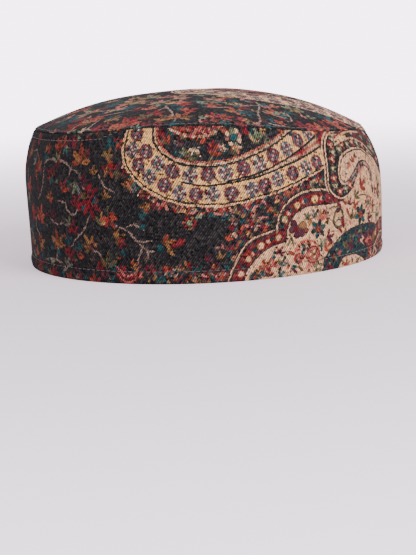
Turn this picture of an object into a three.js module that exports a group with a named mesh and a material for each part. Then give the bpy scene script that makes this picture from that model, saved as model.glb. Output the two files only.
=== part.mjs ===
// A round cap of woven shawl cloth: an upright side band with a turned hem, and a domed round top
// sewn to it along a rounded shoulder. Both are hollow shells of layered cloth. Sizes are in
// millimetres, +Z is up, -Y is the front, and the origin is the middle of the rim's underside.
import * as THREE from "three";

// Driving dimensions
const CLOTH = 2.2; // face cloth, interlining and backing together
const SEAM_HEIGHT = 68.4; // rim to shoulder seam, at the middle of the cap
const SEAM_SIDE_RISE = 3.1; // the seam is this much higher at the left side, and lower at the right
const SEAM_FRONT_ARCH = 6.0; // and it arches up by this much over the front
const ARCH_NARROWNESS = 5; // more keeps the arch closer to the middle of the front
const DOME_RISE = 19.5; // the top's middle above the seam's middle
const DOME_FULLNESS = 2.27; // 2 is a plain round dome, and more is flatter in the middle
const HEM_HEIGHT = 6.5; // the band's cloth is turned up inside by this much
const HEM_LAYER = 0.7; // and is this much thicker there
const FOLD_ROUND = 0.7; // the rounded edge of the folded hem
const SEAM_GAP = 0.3; // between the two cloths at the shoulder seam
const SLOPE_STEP = 0.004; // the share over which a face's slope is read
const SIDES = 72; // facets around the cap
const BAND_STEPS = 12; // facets up the band
const TOP_STEPS = 10; // facets from the middle of the top to the seam

// The band's outline, one row for each level: its share of the height from rim to seam, the half
// width, the half depth, and how far that level's middle lies towards +X.
const bandLevels = [
  { share: 0.0, halfWidth: 94.4, halfDepth: 98.5, shift: 0.0 },
  { share: 0.25, halfWidth: 94.8, halfDepth: 98.8, shift: 0.0 },
  { share: 0.5, halfWidth: 95.0, halfDepth: 99.0, shift: 0.0 },
  { share: 0.7, halfWidth: 94.3, halfDepth: 98.3, shift: -0.3 },
  { share: 0.85, halfWidth: 91.6, halfDepth: 95.5, shift: -0.8 },
  { share: 0.95, halfWidth: 88.7, halfDepth: 92.6, shift: -1.2 },
  { share: 1.0, halfWidth: 86.9, halfDepth: 90.8, shift: -1.4 },
];
const seamLevel = bandLevels[bandLevels.length - 1];

const clothColour = new THREE.Color(0.17, 0.1, 0.09); // the woven colours from a distance

// A smooth curve through one column of the band's table, read at any share of the height.
const shares = bandLevels.map((level) => level.share);
function levelCurve(column) {
  const values = bandLevels.map((level) => level[column]);
  const slopes = values.map((value, i) => {
    const before = Math.max(i - 1, 0);
    const after = Math.min(i + 1, values.length - 1);
    return (values[after] - values[before]) / (shares[after] - shares[before]);
  });
  return (share) => {
    const next = shares.findIndex((at) => at >= share && at > 0);
    const span = shares[next] - shares[next - 1];
    const t = (share - shares[next - 1]) / span;
    const cubic = (1 + 2 * t) * (1 - t) ** 2 * values[next - 1] + t * t * (3 - 2 * t) * values[next];
    const bend = t * (1 - t) ** 2 * slopes[next - 1] - t * t * (1 - t) * slopes[next];
    return cubic + bend * span;
  };
}
const halfWidthAt = levelCurve("halfWidth");
const halfDepthAt = levelCurve("halfDepth");
const shiftAt = levelCurve("shift");

// The shoulder seam's height at a turn around the cap, where 0 is +X and a quarter turn is +Y.
function seamHeight(turn) {
  const front = Math.max(-Math.sin(turn), 0);
  return SEAM_HEIGHT - SEAM_SIDE_RISE * Math.cos(turn) + SEAM_FRONT_ARCH * front ** ARCH_NARROWNESS;
}

// The outer face of the band, at a share of the way from the rim to the seam.
function bandFace(share, turn) {
  return new THREE.Vector3(
    shiftAt(share) + halfWidthAt(share) * Math.cos(turn),
    halfDepthAt(share) * Math.sin(turn),
    share * seamHeight(turn),
  );
}

// The outer face of the top, at a share of the way from its middle to the seam.
function topFace(share, turn) {
  const rise = DOME_RISE * (1 - share ** DOME_FULLNESS);
  return new THREE.Vector3(
    seamLevel.shift + seamLevel.halfWidth * share * Math.cos(turn),
    seamLevel.halfDepth * share * Math.sin(turn),
    SEAM_HEIGHT + (seamHeight(turn) - SEAM_HEIGHT) * share ** 2 + rise,
  );
}

// The direction into the cloth at a point of a face, square to it in the upright plane through the
// point. `towards` is 1 where the face runs up with its share, and -1 where it runs down.
function inwards(face, share, turn, towards) {
  const from = Math.max(share - SLOPE_STEP, 0);
  const to = Math.min(share + SLOPE_STEP, 1);
  const along = face(to, turn).sub(face(from, turn));
  const across = new THREE.Vector3(-Math.sin(turn), Math.cos(turn), 0);
  return along.cross(across).normalize().multiplyScalar(towards);
}

// Where both cloths have their inner corner at the seam, from the outer corner: the mitre that
// keeps each of them at its full thickness up to the joint.
function mitre(turn) {
  const band = inwards(bandFace, 1, turn, 1);
  const top = inwards(topFace, 1, turn, -1);
  return band.clone().add(top).multiplyScalar(CLOTH / (1 + band.dot(top)));
}

// A ring or a disc of cloth. The outline is a list of places, each a function of the turn, around
// the section of the cloth; `closed` joins its last place to its first, and without it both lie on
// the axis.
function clothShell(name, outline, closed) {
  const places = closed ? [...outline, outline[0]] : outline;
  const blank = places.map((_, i) => new THREE.Vector2(i === 0 || i === places.length - 1 ? 0 : 1, i));
  const geometry = new THREE.LatheGeometry(blank, SIDES);
  const position = geometry.getAttribute("position");
  for (let side = 0; side <= SIDES; side += 1) {
    const turn = (2 * Math.PI * (side % SIDES)) / SIDES;
    places.forEach((place, i) => {
      const point = place(turn);
      position.setXYZ(side * places.length + i, point.x, point.y, point.z);
    });
  }
  geometry.computeVertexNormals();
  const material = new THREE.MeshStandardMaterial({ color: clothColour, roughness: 0.92, metalness: 0 });
  const mesh = new THREE.Mesh(geometry, material);
  mesh.name = name;
  return mesh;
}

// The side band: up the outer face, in along the mitre at the seam, and down the inner face to the
// turned hem, whose underside is the flat rim that the cap stands on.
function sideBand() {
  const outer = (share, depth) => (turn) =>
    bandFace(share, turn).addScaledVector(inwards(bandFace, share, turn, 1), depth);
  const underside = (depth) => (turn) => {
    const point = outer(0, depth)(turn);
    point.z = 0;
    return point;
  };
  const hemShare = HEM_HEIGHT / SEAM_HEIGHT;
  const hemDepth = CLOTH + HEM_LAYER;
  const foldShare = FOLD_ROUND / SEAM_HEIGHT;
  const outline = [underside(hemDepth - FOLD_ROUND), underside(FOLD_ROUND), outer(foldShare, 0)];
  for (let step = 1; step <= BAND_STEPS; step += 1) {
    outline.push(outer(step / BAND_STEPS, 0));
  }
  outline.push((turn) => bandFace(1, turn).add(mitre(turn)));
  for (let step = BAND_STEPS - 1; step / BAND_STEPS > 2 * hemShare; step -= 1) {
    outline.push(outer(step / BAND_STEPS, CLOTH));
  }
  outline.push(outer(hemShare + foldShare, CLOTH), outer(hemShare, hemDepth), outer(foldShare, hemDepth));
  return clothShell("side_band", outline, true);
}

// The domed top: from the middle out along the outer face, in along the mitre, and back to the
// middle along the inner face.
function crownTop() {
  const lift = new THREE.Vector3(0, 0, SEAM_GAP * Math.SQRT2);
  const outer = (share, depth) => (turn) =>
    topFace(share, turn).addScaledVector(inwards(topFace, share, turn, -1), depth).add(lift);
  const middle = (depth) => () => topFace(0, 0).add(lift).setZ(topFace(0, 0).z + lift.z - depth);
  const outline = [middle(CLOTH)];
  for (let step = 1; step < TOP_STEPS; step += 1) {
    outline.push(outer(step / TOP_STEPS, CLOTH));
  }
  outline.push((turn) => topFace(1, turn).add(mitre(turn)).add(lift));
  for (let step = TOP_STEPS; step > 0; step -= 1) {
    outline.push(outer(step / TOP_STEPS, 0));
  }
  outline.push(middle(0));
  return clothShell("crown_top", outline, false);
}

const cap = new THREE.Group();
cap.add(sideBand(), crownTop());

export default cap;
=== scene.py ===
import math

import bmesh
import bpy
import numpy as np
from mathutils import Matrix, Vector


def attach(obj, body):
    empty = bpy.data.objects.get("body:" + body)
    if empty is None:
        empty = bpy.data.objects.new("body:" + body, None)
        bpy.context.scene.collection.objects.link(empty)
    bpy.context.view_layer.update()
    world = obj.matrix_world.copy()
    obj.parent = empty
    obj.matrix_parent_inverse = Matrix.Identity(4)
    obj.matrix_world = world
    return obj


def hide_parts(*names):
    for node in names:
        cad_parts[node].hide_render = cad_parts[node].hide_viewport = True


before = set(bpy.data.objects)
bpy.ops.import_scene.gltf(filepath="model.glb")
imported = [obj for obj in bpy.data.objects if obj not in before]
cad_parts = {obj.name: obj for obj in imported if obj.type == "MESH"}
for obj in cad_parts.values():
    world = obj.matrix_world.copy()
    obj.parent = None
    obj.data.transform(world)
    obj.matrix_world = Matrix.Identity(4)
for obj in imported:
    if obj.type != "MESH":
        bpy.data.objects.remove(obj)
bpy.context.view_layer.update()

# The side band. The real one is a strip of kani shawl cloth on a firm interlining and a plain
# backing, bent round, with its lower edge turned up inside for the hem and its ends sewn together at
# the back. Its shape repeats the CAD's driving sizes, in millimetres.
MM = 0.001
CLOTH = 2.2
SEAM_HEIGHT = 68.4
SEAM_SIDE_RISE = 3.1
SEAM_FRONT_ARCH = 6.0
ARCH_NARROWNESS = 5
DOME_RISE = 19.5
DOME_FULLNESS = 2.27
HEM_HEIGHT = 6.5
HEM_LAYER = 0.7
FOLD_ROUND = 0.7
# One row a level: share of the height, half width, half depth, and how far it lies towards +X
BAND_LEVELS = np.array([
    (0.0, 94.4, 98.5, 0.0),
    (0.25, 94.8, 98.8, 0.0),
    (0.5, 95.0, 99.0, 0.0),
    (0.7, 94.3, 98.3, -0.3),
    (0.85, 91.6, 95.5, -0.8),
    (0.95, 88.7, 92.6, -1.2),
    (1.0, 86.9, 90.8, -1.4),
])


def level_at(share, column):
    """A smooth curve through one column of the levels, as the CAD draws it."""
    shares, values = BAND_LEVELS[:, 0], BAND_LEVELS[:, column]
    after = np.minimum(np.arange(len(shares)) + 1, len(shares) - 1)
    before = np.maximum(np.arange(len(shares)) - 1, 0)
    slopes = (values[after] - values[before]) / (shares[after] - shares[before])
    high = np.clip(np.searchsorted(shares, share), 1, len(shares) - 1)
    low = high - 1
    span = shares[high] - shares[low]
    t = (share - shares[low]) / span
    straight = (1 + 2 * t) * (1 - t) ** 2 * values[low] + t**2 * (3 - 2 * t) * values[high]
    return straight + (t * (1 - t) ** 2 * slopes[low] - t**2 * (1 - t) * slopes[high]) * span


def seam_height(turn):
    """The shoulder seam's height, where turn 0 is +X and a quarter turn is +Y."""
    front = np.maximum(-np.sin(turn), 0)
    return SEAM_HEIGHT - SEAM_SIDE_RISE * np.cos(turn) + SEAM_FRONT_ARCH * front**ARCH_NARROWNESS


def band_face(share, turn):
    """The band's outer face, at a share of the way from rim to seam."""
    x = level_at(share, 3) + level_at(share, 1) * np.cos(turn)
    return np.stack((x, level_at(share, 2) * np.sin(turn), share * seam_height(turn)), axis=-1)


def top_face(share, turn):
    """The top's outer face, at a share of the way from its middle to the seam."""
    x = BAND_LEVELS[-1, 3] + BAND_LEVELS[-1, 1] * share * np.cos(turn)
    rise = DOME_RISE * (1 - share**DOME_FULLNESS) + (seam_height(turn) - SEAM_HEIGHT) * share**2
    return np.stack((x, BAND_LEVELS[-1, 2] * share * np.sin(turn), SEAM_HEIGHT + rise), axis=-1)


# The step, as a share of a face's way, over which its slope is read
SLOPE_STEP = 0.004


def inwards(face, share, turn, towards):
    """The direction into the cloth, square to a face; towards is -1 where it runs down with its share."""
    after, before = np.minimum(share + SLOPE_STEP, 1), np.maximum(share - SLOPE_STEP, 0)
    along = face(after, turn) - face(before, turn)
    across = np.stack((-np.sin(turn), np.cos(turn), np.zeros_like(turn)), axis=-1)
    square = np.cross(along, across) * towards
    return square / np.linalg.norm(square, axis=-1, keepdims=True)


def mitre(turn):
    """From the outer corner at the seam to the inner corner that both cloths share."""
    one = np.ones_like(turn)
    band, top = inwards(band_face, one, turn, 1), inwards(top_face, one, turn, -1)
    return (band + top) * (CLOTH / (1 + (band * top).sum(axis=-1, keepdims=True)))


# The band laid flat: millimetres round it at half its height, 0 at the middle of the front, read at
# every twentieth of a degree
fine_turns = np.linspace(-1.5 * math.pi, 0.5 * math.pi, 7201)
middle_ring = band_face(np.full_like(fine_turns, 0.5), fine_turns)[:, :2]
round_it = np.concatenate(([0], np.cumsum(np.linalg.norm(np.diff(middle_ring, axis=0), axis=1))))
round_it -= np.interp(-math.pi / 2, fine_turns, round_it)
HALF_ROUND = round_it[-1]


def turn_at(across):
    """The turn of a place round the flat band."""
    return np.interp(across, round_it, fine_turns)


# Stitch lines, in millimetres: above the rim, below the shoulder seam, and each stitch with its gap.
# Over the front, from one place round the band to another, the upper line runs up into the seam.
HEM_LINE = 6.0
SHOULDER_LINE = 3.4
STITCH_PITCH = 3.1
LINE_DIPS_LEFT, LEFT_SLOPE = -38, 16
LINE_DIPS_RIGHT, RIGHT_SLOPE = 112, 30
LINE_INSIDE = 1.0

# Relief of the sewn cloth, in millimetres. Stitches pull it in, a little less between one and the next,
# and beside their line it puffs out: how deep, how far, how wide, and how far away from the seam or join
PULL_WIDTH = 0.9
MEAN_PULL, PULL_SWING = 0.75, 0.25
HEM_PULL, HEM_PUFF, HEM_PUFF_WIDTH = 0.6, 0.45, 1.8
SHOULDER_PULL, SHOULDER_PUFF, SHOULDER_PUFF_WIDTH, SHOULDER_PUFF_AWAY = 0.34, 0.2, 1.5, 2.2
JOIN_PULL, JOIN_PUFF, JOIN_PUFF_WIDTH, JOIN_PUFF_AWAY = 0.5, 0.25, 2, 3
JOIN_PULL_WIDTH = 0.7
# Between them it lies slack, in long and short waves that fade out towards the rim and the seam
LONG_SLACK, LONG_ACROSS, LONG_UP, LONG_START = 0.3, 17.0, 16.0, 0.6
SHORT_SLACK, SHORT_ACROSS, SHORT_UP = 0.2, 9.3, 13.0
RIM_FADE, SEAM_FADE = 8.0, 6.0
# Its edge at the seam is rolled over
SEAM_ROLL = 0.38
BAND_ROLL_DEPTH = 0.8


def shoulder_line(across):
    """How far the upper row of stitches lies below the seam; it is less than nothing inside the seam."""
    left = np.clip((LINE_DIPS_LEFT - across) / LEFT_SLOPE, 0, 1)
    right = np.clip((across - LINE_DIPS_RIGHT) / RIGHT_SLOPE, 0, 1)
    shown = np.maximum(left, right)
    return SHOULDER_LINE * shown - LINE_INSIDE * (1 - shown)


def bump_at(distance, width):
    """A soft bump, 1 where the distance is nothing."""
    return np.exp(-((distance / width) ** 2))


def rolled(from_edge, depth):
    """How far the cloth falls away at its turned edge, in the shape of a quarter round."""
    inset = np.clip(SEAM_ROLL - from_edge, 0, SEAM_ROLL) / SEAM_ROLL
    return -depth * SEAM_ROLL * (1 - np.sqrt(1 - np.clip(inset, 0, 0.999) ** 2))


def band_relief(across, up, seam):
    """How far the sewn cloth stands out of its plain shape: drawn in at each stitch, and puffed between."""
    pull = MEAN_PULL + PULL_SWING * np.cos(2 * math.pi * across / STITCH_PITCH)
    hem = HEM_PUFF * bump_at(up - HEM_LINE / 2, HEM_PUFF_WIDTH)
    hem -= HEM_PULL * pull * bump_at(up - HEM_LINE, PULL_WIDTH)
    shoulder = SHOULDER_PUFF * bump_at(seam - SHOULDER_PUFF_AWAY - up, SHOULDER_PUFF_WIDTH)
    shoulder -= SHOULDER_PULL * pull * bump_at(seam - shoulder_line(across) - up, PULL_WIDTH)
    slack = LONG_SLACK * np.sin(across / LONG_ACROSS + LONG_START) * np.sin(up / LONG_UP)
    slack += SHORT_SLACK * np.sin(across / SHORT_ACROSS + up / SHORT_UP)
    fade = np.clip(up / RIM_FADE, 0, 1) * np.clip((seam - up) / SEAM_FADE, 0, 1)
    from_join = HALF_ROUND - np.abs(across)
    join = JOIN_PUFF * bump_at(from_join - JOIN_PUFF_AWAY, JOIN_PUFF_WIDTH)
    join -= JOIN_PULL * bump_at(from_join, JOIN_PULL_WIDTH)
    return hem + shoulder + rolled(seam - up, BAND_ROLL_DEPTH) + slack * fade + join


def on_band(across, up, lift):
    """Points on the band's outer face from flat ones, in metres; lift is outwards."""
    turn = turn_at(across)
    seam = seam_height(turn)
    share = np.clip(up / seam, 0, 1)
    away = lift + band_relief(across, up, seam)
    return (band_face(share, turn) - inwards(band_face, share, turn, 1) * away[..., None]) * MM


# How finely the cloth is cut: rows up its face, columns over the front as far as FRONT_ROUND to each
# side of the middle, and fewer columns on each side of the back
FACE_ROWS = 104
FRONT_ROUND = 135.0
FRONT_COLUMNS = 396
BACK_COLUMNS = 176


def values_of(items, name, width=1, kind=float):
    """One property of all the items of a mesh, as an array."""
    found = np.empty(len(items) * width, dtype=kind)
    items.foreach_get(name, found)
    return found


def flat_grid(name, columns, rows):
    """A square of bmesh grid cells, and each vertex's column and row in it."""
    bm = bmesh.new()
    bmesh.ops.create_grid(bm, x_segments=columns, y_segments=rows, size=1)
    mesh = bpy.data.meshes.new(name)
    bm.to_mesh(mesh)
    bm.free()
    x, y = values_of(mesh.vertices, "co", 3).reshape(-1, 3)[:, :2].T
    return mesh, (x + 1) / 2, (y + 1) / 2


def corner_vertices(mesh):
    """The vertex of each corner of each face."""
    return values_of(mesh.loops, "vertex_index", kind=np.int32)


def lay_map(mesh, name, corners):
    """A UV map from the places of the corners."""
    mesh.uv_layers.new(name=name).uv.foreach_set("vector", corners.ravel())


def lay_cloth_map(mesh, flat):
    """The UV map that holds each corner's place in the flat cloth, in millimetres."""
    lay_map(mesh, "cloth", flat[corner_vertices(mesh)])


def place_vertices(mesh, points):
    """Moves the vertices of a mesh."""
    mesh.vertices.foreach_set("co", points.ravel())
    mesh.update()


def piece_of(name, mesh):
    """An object in the scene that shows a mesh."""
    made = bpy.data.objects.new(name, mesh)
    bpy.context.scene.collection.objects.link(made)
    return made


def smooth_mesh(bm, mesh):
    """Turns the faces outwards, shades them smooth and writes them to the mesh."""
    bmesh.ops.recalc_face_normals(bm, faces=bm.faces)
    for face in bm.faces:
        face.smooth = True
    bm.to_mesh(mesh)
    bm.free()


band_columns = np.concatenate((
    np.linspace(-HALF_ROUND, -FRONT_ROUND, BACK_COLUMNS, endpoint=False),
    np.linspace(-FRONT_ROUND, FRONT_ROUND, FRONT_COLUMNS, endpoint=False),
    np.linspace(FRONT_ROUND, HALF_ROUND, BACK_COLUMNS + 1),
))

# Rows of the band's section, from under the rim up the face, in over the seam and down the inside:
# each row's share of the height, depth into the cloth, and share of the way along the mitre
FOLD_SHARE = FOLD_ROUND / SEAM_HEIGHT
HEM_SHARE = HEM_HEIGHT / SEAM_HEIGHT
HEM_DEPTH = CLOTH + HEM_LAYER
FOLD_MIDDLE = 1.6
face_shares = np.linspace(FOLD_SHARE, 1, FACE_ROWS)
mitre_shares = (0.35, 0.7, 1)
inner_shares = np.linspace(0.98, 0.2, 8)
section = [(0, FOLD_MIDDLE, 0), (0, 0.75, 0), (0, 0.25, 0), (FOLD_SHARE / 3, 0.06, 0)]
first_face = len(section)
section += [(share, 0, 0) for share in face_shares]
last_face = len(section) - 1
section += [(1, 0, along) for along in mitre_shares]
last_mitre = len(section) - 1
section += [(share, CLOTH, 0) for share in inner_shares]
last_inner = len(section) - 1
section += [(HEM_SHARE + FOLD_SHARE, CLOTH, 0), (HEM_SHARE, HEM_DEPTH, 0), (HEM_SHARE / 2, HEM_DEPTH, 0)]
section += [(FOLD_SHARE, HEM_DEPTH, 0), (0, HEM_DEPTH - FOLD_ROUND, 0), (0, FOLD_MIDDLE, 0)]
section = np.array(section, float)
last_column, last_row = len(band_columns) - 1, len(section) - 1
band_mesh, column_share, row_share = flat_grid("side_band_cloth", last_column, last_row)
column = np.rint(column_share * last_column).astype(int)
row = np.rint(row_share * last_row).astype(int)
across = band_columns[column]
share, depth, along_mitre = section[row].T
turn = turn_at(across)
seam = seam_height(turn)
on_face = (row >= first_face) & (row <= last_face)

# Where each row lies in the flat cloth: the hem's turned part runs on below the rim
flat_up = share * seam
flat_up = np.where(row > last_face, seam + along_mitre * CLOTH + (1 - share) * seam, flat_up)
flat_up = np.where(row > last_inner, -FOLD_MIDDLE - share * seam, flat_up)
flat_up = np.where(row < first_face, -depth, flat_up)
lift = np.where(on_face, band_relief(across, share * seam, seam), -depth)
points = band_face(share, turn) - inwards(band_face, share, turn, 1) * lift[:, None]
points += mitre(turn) * along_mitre[:, None]
points[:, 2] = np.maximum(points[:, 2], 0)
lay_cloth_map(band_mesh, np.stack((across, flat_up), axis=-1))
place_vertices(band_mesh, points * MM)
corner_rows = row[corner_vertices(band_mesh)].reshape(-1, 4)
lowest_row = corner_rows.min(axis=1)
is_backing = (lowest_row > last_face + 1) & (lowest_row <= last_inner)
band_mesh.polygons.foreach_set("material_index", is_backing.astype(np.int32))

# The band's own bake map: the cloth cut into three strips, one above another, with the plain backing
# drawn smaller
BAKE_STRIPS = 3
BAKE_GAP = 0.003
SHORTEST_STEP = 0.3
BACKING_DRAWN = 0.3
strip_columns = math.ceil(last_column / BAKE_STRIPS)
share_steps, depth_steps, mitre_steps = np.diff(section, axis=0).T
step_lengths = np.hypot(share_steps * SEAM_HEIGHT, depth_steps) + mitre_steps * CLOTH
step_lengths = np.maximum(step_lengths, SHORTEST_STEP)
step_lengths[last_mitre:last_inner + 1] *= BACKING_DRAWN
row_heights = np.concatenate(([0], np.cumsum(step_lengths))) / step_lengths.sum()
corner_columns = column[corner_vertices(band_mesh)].reshape(-1, 4)
strip = corner_columns.min(axis=1, keepdims=True) // strip_columns
bake_x = BAKE_GAP + (1 - 2 * BAKE_GAP) * (corner_columns - strip * strip_columns) / strip_columns
bake_y = (strip + BAKE_GAP * 2 + (1 - 4 * BAKE_GAP) * row_heights[corner_rows]) / BAKE_STRIPS
lay_map(band_mesh, "OFBake", np.stack((bake_x, bake_y), axis=-1))

# The sheet's edges that lie on each other are joined: at the back, and under the rim
JOINED_WITHIN = 0.002
bm = bmesh.new()
bm.from_mesh(band_mesh)
bmesh.ops.remove_doubles(bm, verts=bm.verts, dist=JOINED_WITHIN * MM)
smooth_mesh(bm, band_mesh)
side_band = piece_of("side_band_cloth", band_mesh)

# Colours of the woven threads as the eye sees them: red, green and blue, up to 255
THREADS = {
    "black": (37, 35, 38),
    "soot": (56, 46, 47),
    "red": (138, 28, 40),
    "crimson": (104, 22, 36),
    "rust": (142, 56, 40),
    "orange": (170, 70, 50),
    "coral": (190, 94, 76),
    "ochre": (152, 104, 62),
    "brown": (100, 70, 42),
    "gold": (208, 152, 92),
    "sand": (250, 188, 120),
    "cream": (236, 180, 138),
    "pink": (196, 114, 104),
    "stem": (150, 122, 110),
    "plum": (84, 34, 52),
    "teal": (20, 80, 84),
    "deep": (20, 50, 56),
    "sage": (122, 132, 102),
    "olive": (92, 88, 60),
    "grey": (110, 112, 108),
    "ash": (222, 188, 164),
    "slate": (86, 72, 78),
    "sea": (54, 104, 106),
}


def linear(name):
    """A thread's colour in the linear values that a material takes."""
    part = np.array(THREADS[name]) / 255
    return np.where(part > 0.04045, ((part + 0.055) / 1.055) ** 2.4, part / 12.92)


# How far a colour's edge wanders from thread to thread, in millimetres: on open ground and in fine work
FREE_EDGE = 0.7
FINE_EDGE = 0.4
# How far past a shape its cells are looked for, and the distance of cells that lie further off than that
MARGIN = 1
FAR_OFF = 9.0


class Chart:
    """One piece of cloth laid flat, cell by cell. A cell holds up to three thread colours, split where
    a distance field, in millimetres and read at its four corners, passes its two edges."""

    def __init__(self, corners, repeats, ground):
        self.order = np.argsort(corners[:, :, 0].mean(axis=1), kind="stable")
        self.corners = corners[self.order]
        self.across, self.up = self.corners.mean(axis=1).T
        self.repeats = repeats
        self.colours = np.tile(linear(ground), (len(corners), 3, 1))
        self.edges = np.zeros((len(corners), 2))
        self.raggedness = np.full(len(corners), FREE_EDGE)
        self.drawn_edge = FREE_EDGE
        self.field = np.zeros((len(corners), 4))

    def near(self, points, reach):
        """The cells that lie within reach of the box round some points."""
        low, high = points.min(axis=0) - reach, points.max(axis=0) + reach
        first, last = np.searchsorted(self.across, (low[0], high[0]))
        rows = self.up[first:last]
        return first + np.flatnonzero((rows > low[1]) & (rows < high[1]))

    def lay(self, cells, field, edges, colours):
        """Lays colours below the first edge, between the edges and past the second. Where a colour is
        None, the cell keeps the mean of what it shows there."""
        touched = field.min(axis=1) < edges[1]
        if not colours[0]:
            touched &= field.max(axis=1) > edges[0]
        cells, field = cells[touched], field[touched]
        part = (self.field[cells][:, :, None] >= self.edges[cells][:, None, :]).sum(axis=2)
        now = self.colours[cells[:, None], part]
        sides = (field < edges[0], None, field >= edges[1])
        for place, colour in enumerate(colours):
            if colour:
                self.colours[cells, place] = linear(colour)
            else:
                weight = sides[place][..., None] + 1e-4
                self.colours[cells, place] = (now * weight).sum(axis=1) / weight.sum(axis=1)
        self.edges[cells] = edges
        self.raggedness[cells] = self.drawn_edge
        self.field[cells] = field

    def fill(self, cells, field, colour, rim, rim_width):
        """Lays one colour inside an outline, and a rim in another colour just outside it."""
        self.lay(cells, field, (0, rim_width if rim else 0), (colour, rim or colour, None))

    def shape(self, middle, reach, distance, colour, rim=None, rim_width=0.35):
        """A shape round a middle, given by its distance function, in each repeat of the pattern."""
        for shift in self.repeats:
            place = np.array(middle, float) + shift
            cells = self.near(place[None], reach + MARGIN)
            if len(cells):
                self.fill(cells, distance(self.corners[cells] - place), colour, rim, rim_width)

    def stroke(self, points, width, colour):
        """A line of even width along a smooth curve through the points."""
        path = curve(points)
        for shift in self.repeats:
            cells, field = self.signed(path + shift, width / 2)
            if len(cells):
                self.lay(cells, field, (-width / 2, width / 2), (None, colour, None))

    def signed(self, line, reach):
        """The cells near a line, and their corners' distances from it, less than nothing on its right."""
        best = np.full(self.field.shape, np.inf)
        for start, end in zip(line[:-1], line[1:]):
            cells = self.near(np.array((start, end)), reach + MARGIN)
            if not len(cells):
                continue
            away = self.corners[cells] - start
            along = end - start
            share = np.clip((away @ along) / (along @ along + 1e-9), 0, 1)
            gap = away - share[..., None] * along
            side = np.sign(along[0] * away[..., 1] - along[1] * away[..., 0] + 1e-12)
            distance = side * np.hypot(gap[..., 0], gap[..., 1])
            held = best[cells]
            best[cells] = np.where(np.abs(distance) < np.abs(held), distance, held)
        cells = np.flatnonzero(np.isfinite(best).all(axis=1))
        return cells, best[cells]

    def region(self, points, colour, rim=None, rim_width=0.35):
        """The inside of a smooth closed curve through the points."""
        path = curve(points)
        path = np.concatenate((path, path[:1]))
        for shift in self.repeats:
            line = path + shift
            cells = self.near(line, MARGIN)
            if not len(cells):
                continue
            at = self.corners[cells]
            inside = np.zeros(at.shape[:2], bool)
            for (x0, y0), (x1, y1) in zip(line[:-1], line[1:]):
                if y0 != y1:
                    crosses = (at[..., 1] < y0) != (at[..., 1] < y1)
                    meets = x0 + (at[..., 1] - y0) * (x1 - x0) / (y1 - y0)
                    inside ^= crosses & (at[..., 0] < meets)
            edge_cells, edge = self.signed(line, MARGIN)
            distance = np.full(self.field.shape, FAR_OFF)
            distance[edge_cells] = np.abs(edge)
            field = np.where(inside, -1, 1) * distance[cells]
            self.fill(cells, field, colour, rim, rim_width)

    def weave_into(self, mesh, faces):
        """Writes the chart to a mesh as attributes that its material reads."""
        faces = faces[self.order]
        for place, name in enumerate(("thread_low", "thread_middle", "thread_high")):
            colours = np.ones((len(mesh.polygons), 4))
            colours[faces, :3] = self.colours[:, place]
            made = mesh.attributes.new(name, "FLOAT_COLOR", "FACE")
            made.data.foreach_set("color", colours.ravel())
        edges = np.zeros((len(mesh.polygons), 3))
        edges[faces, :2] = self.edges
        edges[faces, 2] = self.raggedness
        made = mesh.attributes.new("thread_edges", "FLOAT_VECTOR", "FACE")
        made.data.foreach_set("vector", edges.ravel())
        field = np.full(len(mesh.loops), -1.0)
        field[face_corners(mesh)[faces]] = self.field
        made = mesh.attributes.new("thread_field", "FLOAT", "CORNER")
        made.data.foreach_set("value", field)


def face_corners(mesh):
    """The first four corners of every face."""
    return values_of(mesh.polygons, "loop_start", kind=np.int32)[:, None] + np.arange(4)


def flat_faces(mesh, slot):
    """The faces of one material slot, and the flat places of their corners."""
    places = values_of(mesh.uv_layers["cloth"].uv, "vector", 2).reshape(-1, 2)
    faces = np.flatnonzero(values_of(mesh.polygons, "material_index", kind=np.int32) == slot)
    return faces, places[face_corners(mesh)[faces]]


# The longest straight step of a drawn curve, in millimetres
CURVE_STEP = 1.2


def curve(points):
    """A smooth curve through the points, in short steps."""
    points = np.array(points, float)
    padded = np.concatenate((2 * points[:1] - points[1:2], points, 2 * points[-1:] - points[-2:-1]))
    made = []
    for a, b, c, d in zip(padded, padded[1:], padded[2:], padded[3:]):
        count = max(int(np.hypot(*(c - b)) / CURVE_STEP), 1)
        t = (np.arange(count) / count)[:, None]
        made.append(0.5 * (2 * b + (c - a) * t + (2 * a - 5 * b + 4 * c - d) * t**2
                           + (3 * b - a - 3 * c + d) * t**3))
    return np.concatenate(made + [points[-1:]])


def moved(points, across, up):
    """The same points, shifted in the flat cloth."""
    return [(u + across, v + up) for u, v in points]


def turned(points, degrees):
    """The points as they lie from a heading, which becomes the way across."""
    turn = np.radians(degrees)
    x, y = points[..., 0], points[..., 1]
    return np.stack((x * np.cos(turn) + y * np.sin(turn), y * np.cos(turn) - x * np.sin(turn)), axis=-1)


def ahead(heading):
    """The direction of a heading in degrees."""
    return np.array((np.cos(np.radians(heading)), np.sin(np.radians(heading))))


def petal(length, width, heading, start=0.0):
    """The distance from a petal pointed at both ends, whose foot is at the middle or further along."""
    half, belly = length / 2, width / 2
    radius = (half**2 + belly**2) / (2 * belly)

    def distance(points):
        local = turned(points, heading)
        return np.hypot(local[..., 0] - start - half, np.abs(local[..., 1]) + radius - belly) - radius

    return distance


def disc(radius, x=0.0, y=0.0, squash=1.0):
    """The distance from a round, or from an upright oval where squash is over 1."""

    def distance(points):
        return np.hypot(points[..., 0] - x, (points[..., 1] - y) / squash) - radius

    return distance


# The lobes of a leaf as degrees from its heading, in the order in which they are laid
LEAF_FANS = {1: (0,), 3: (-44, 44, 0), 5: (-88, 88, -44, 44, 0)}
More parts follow.
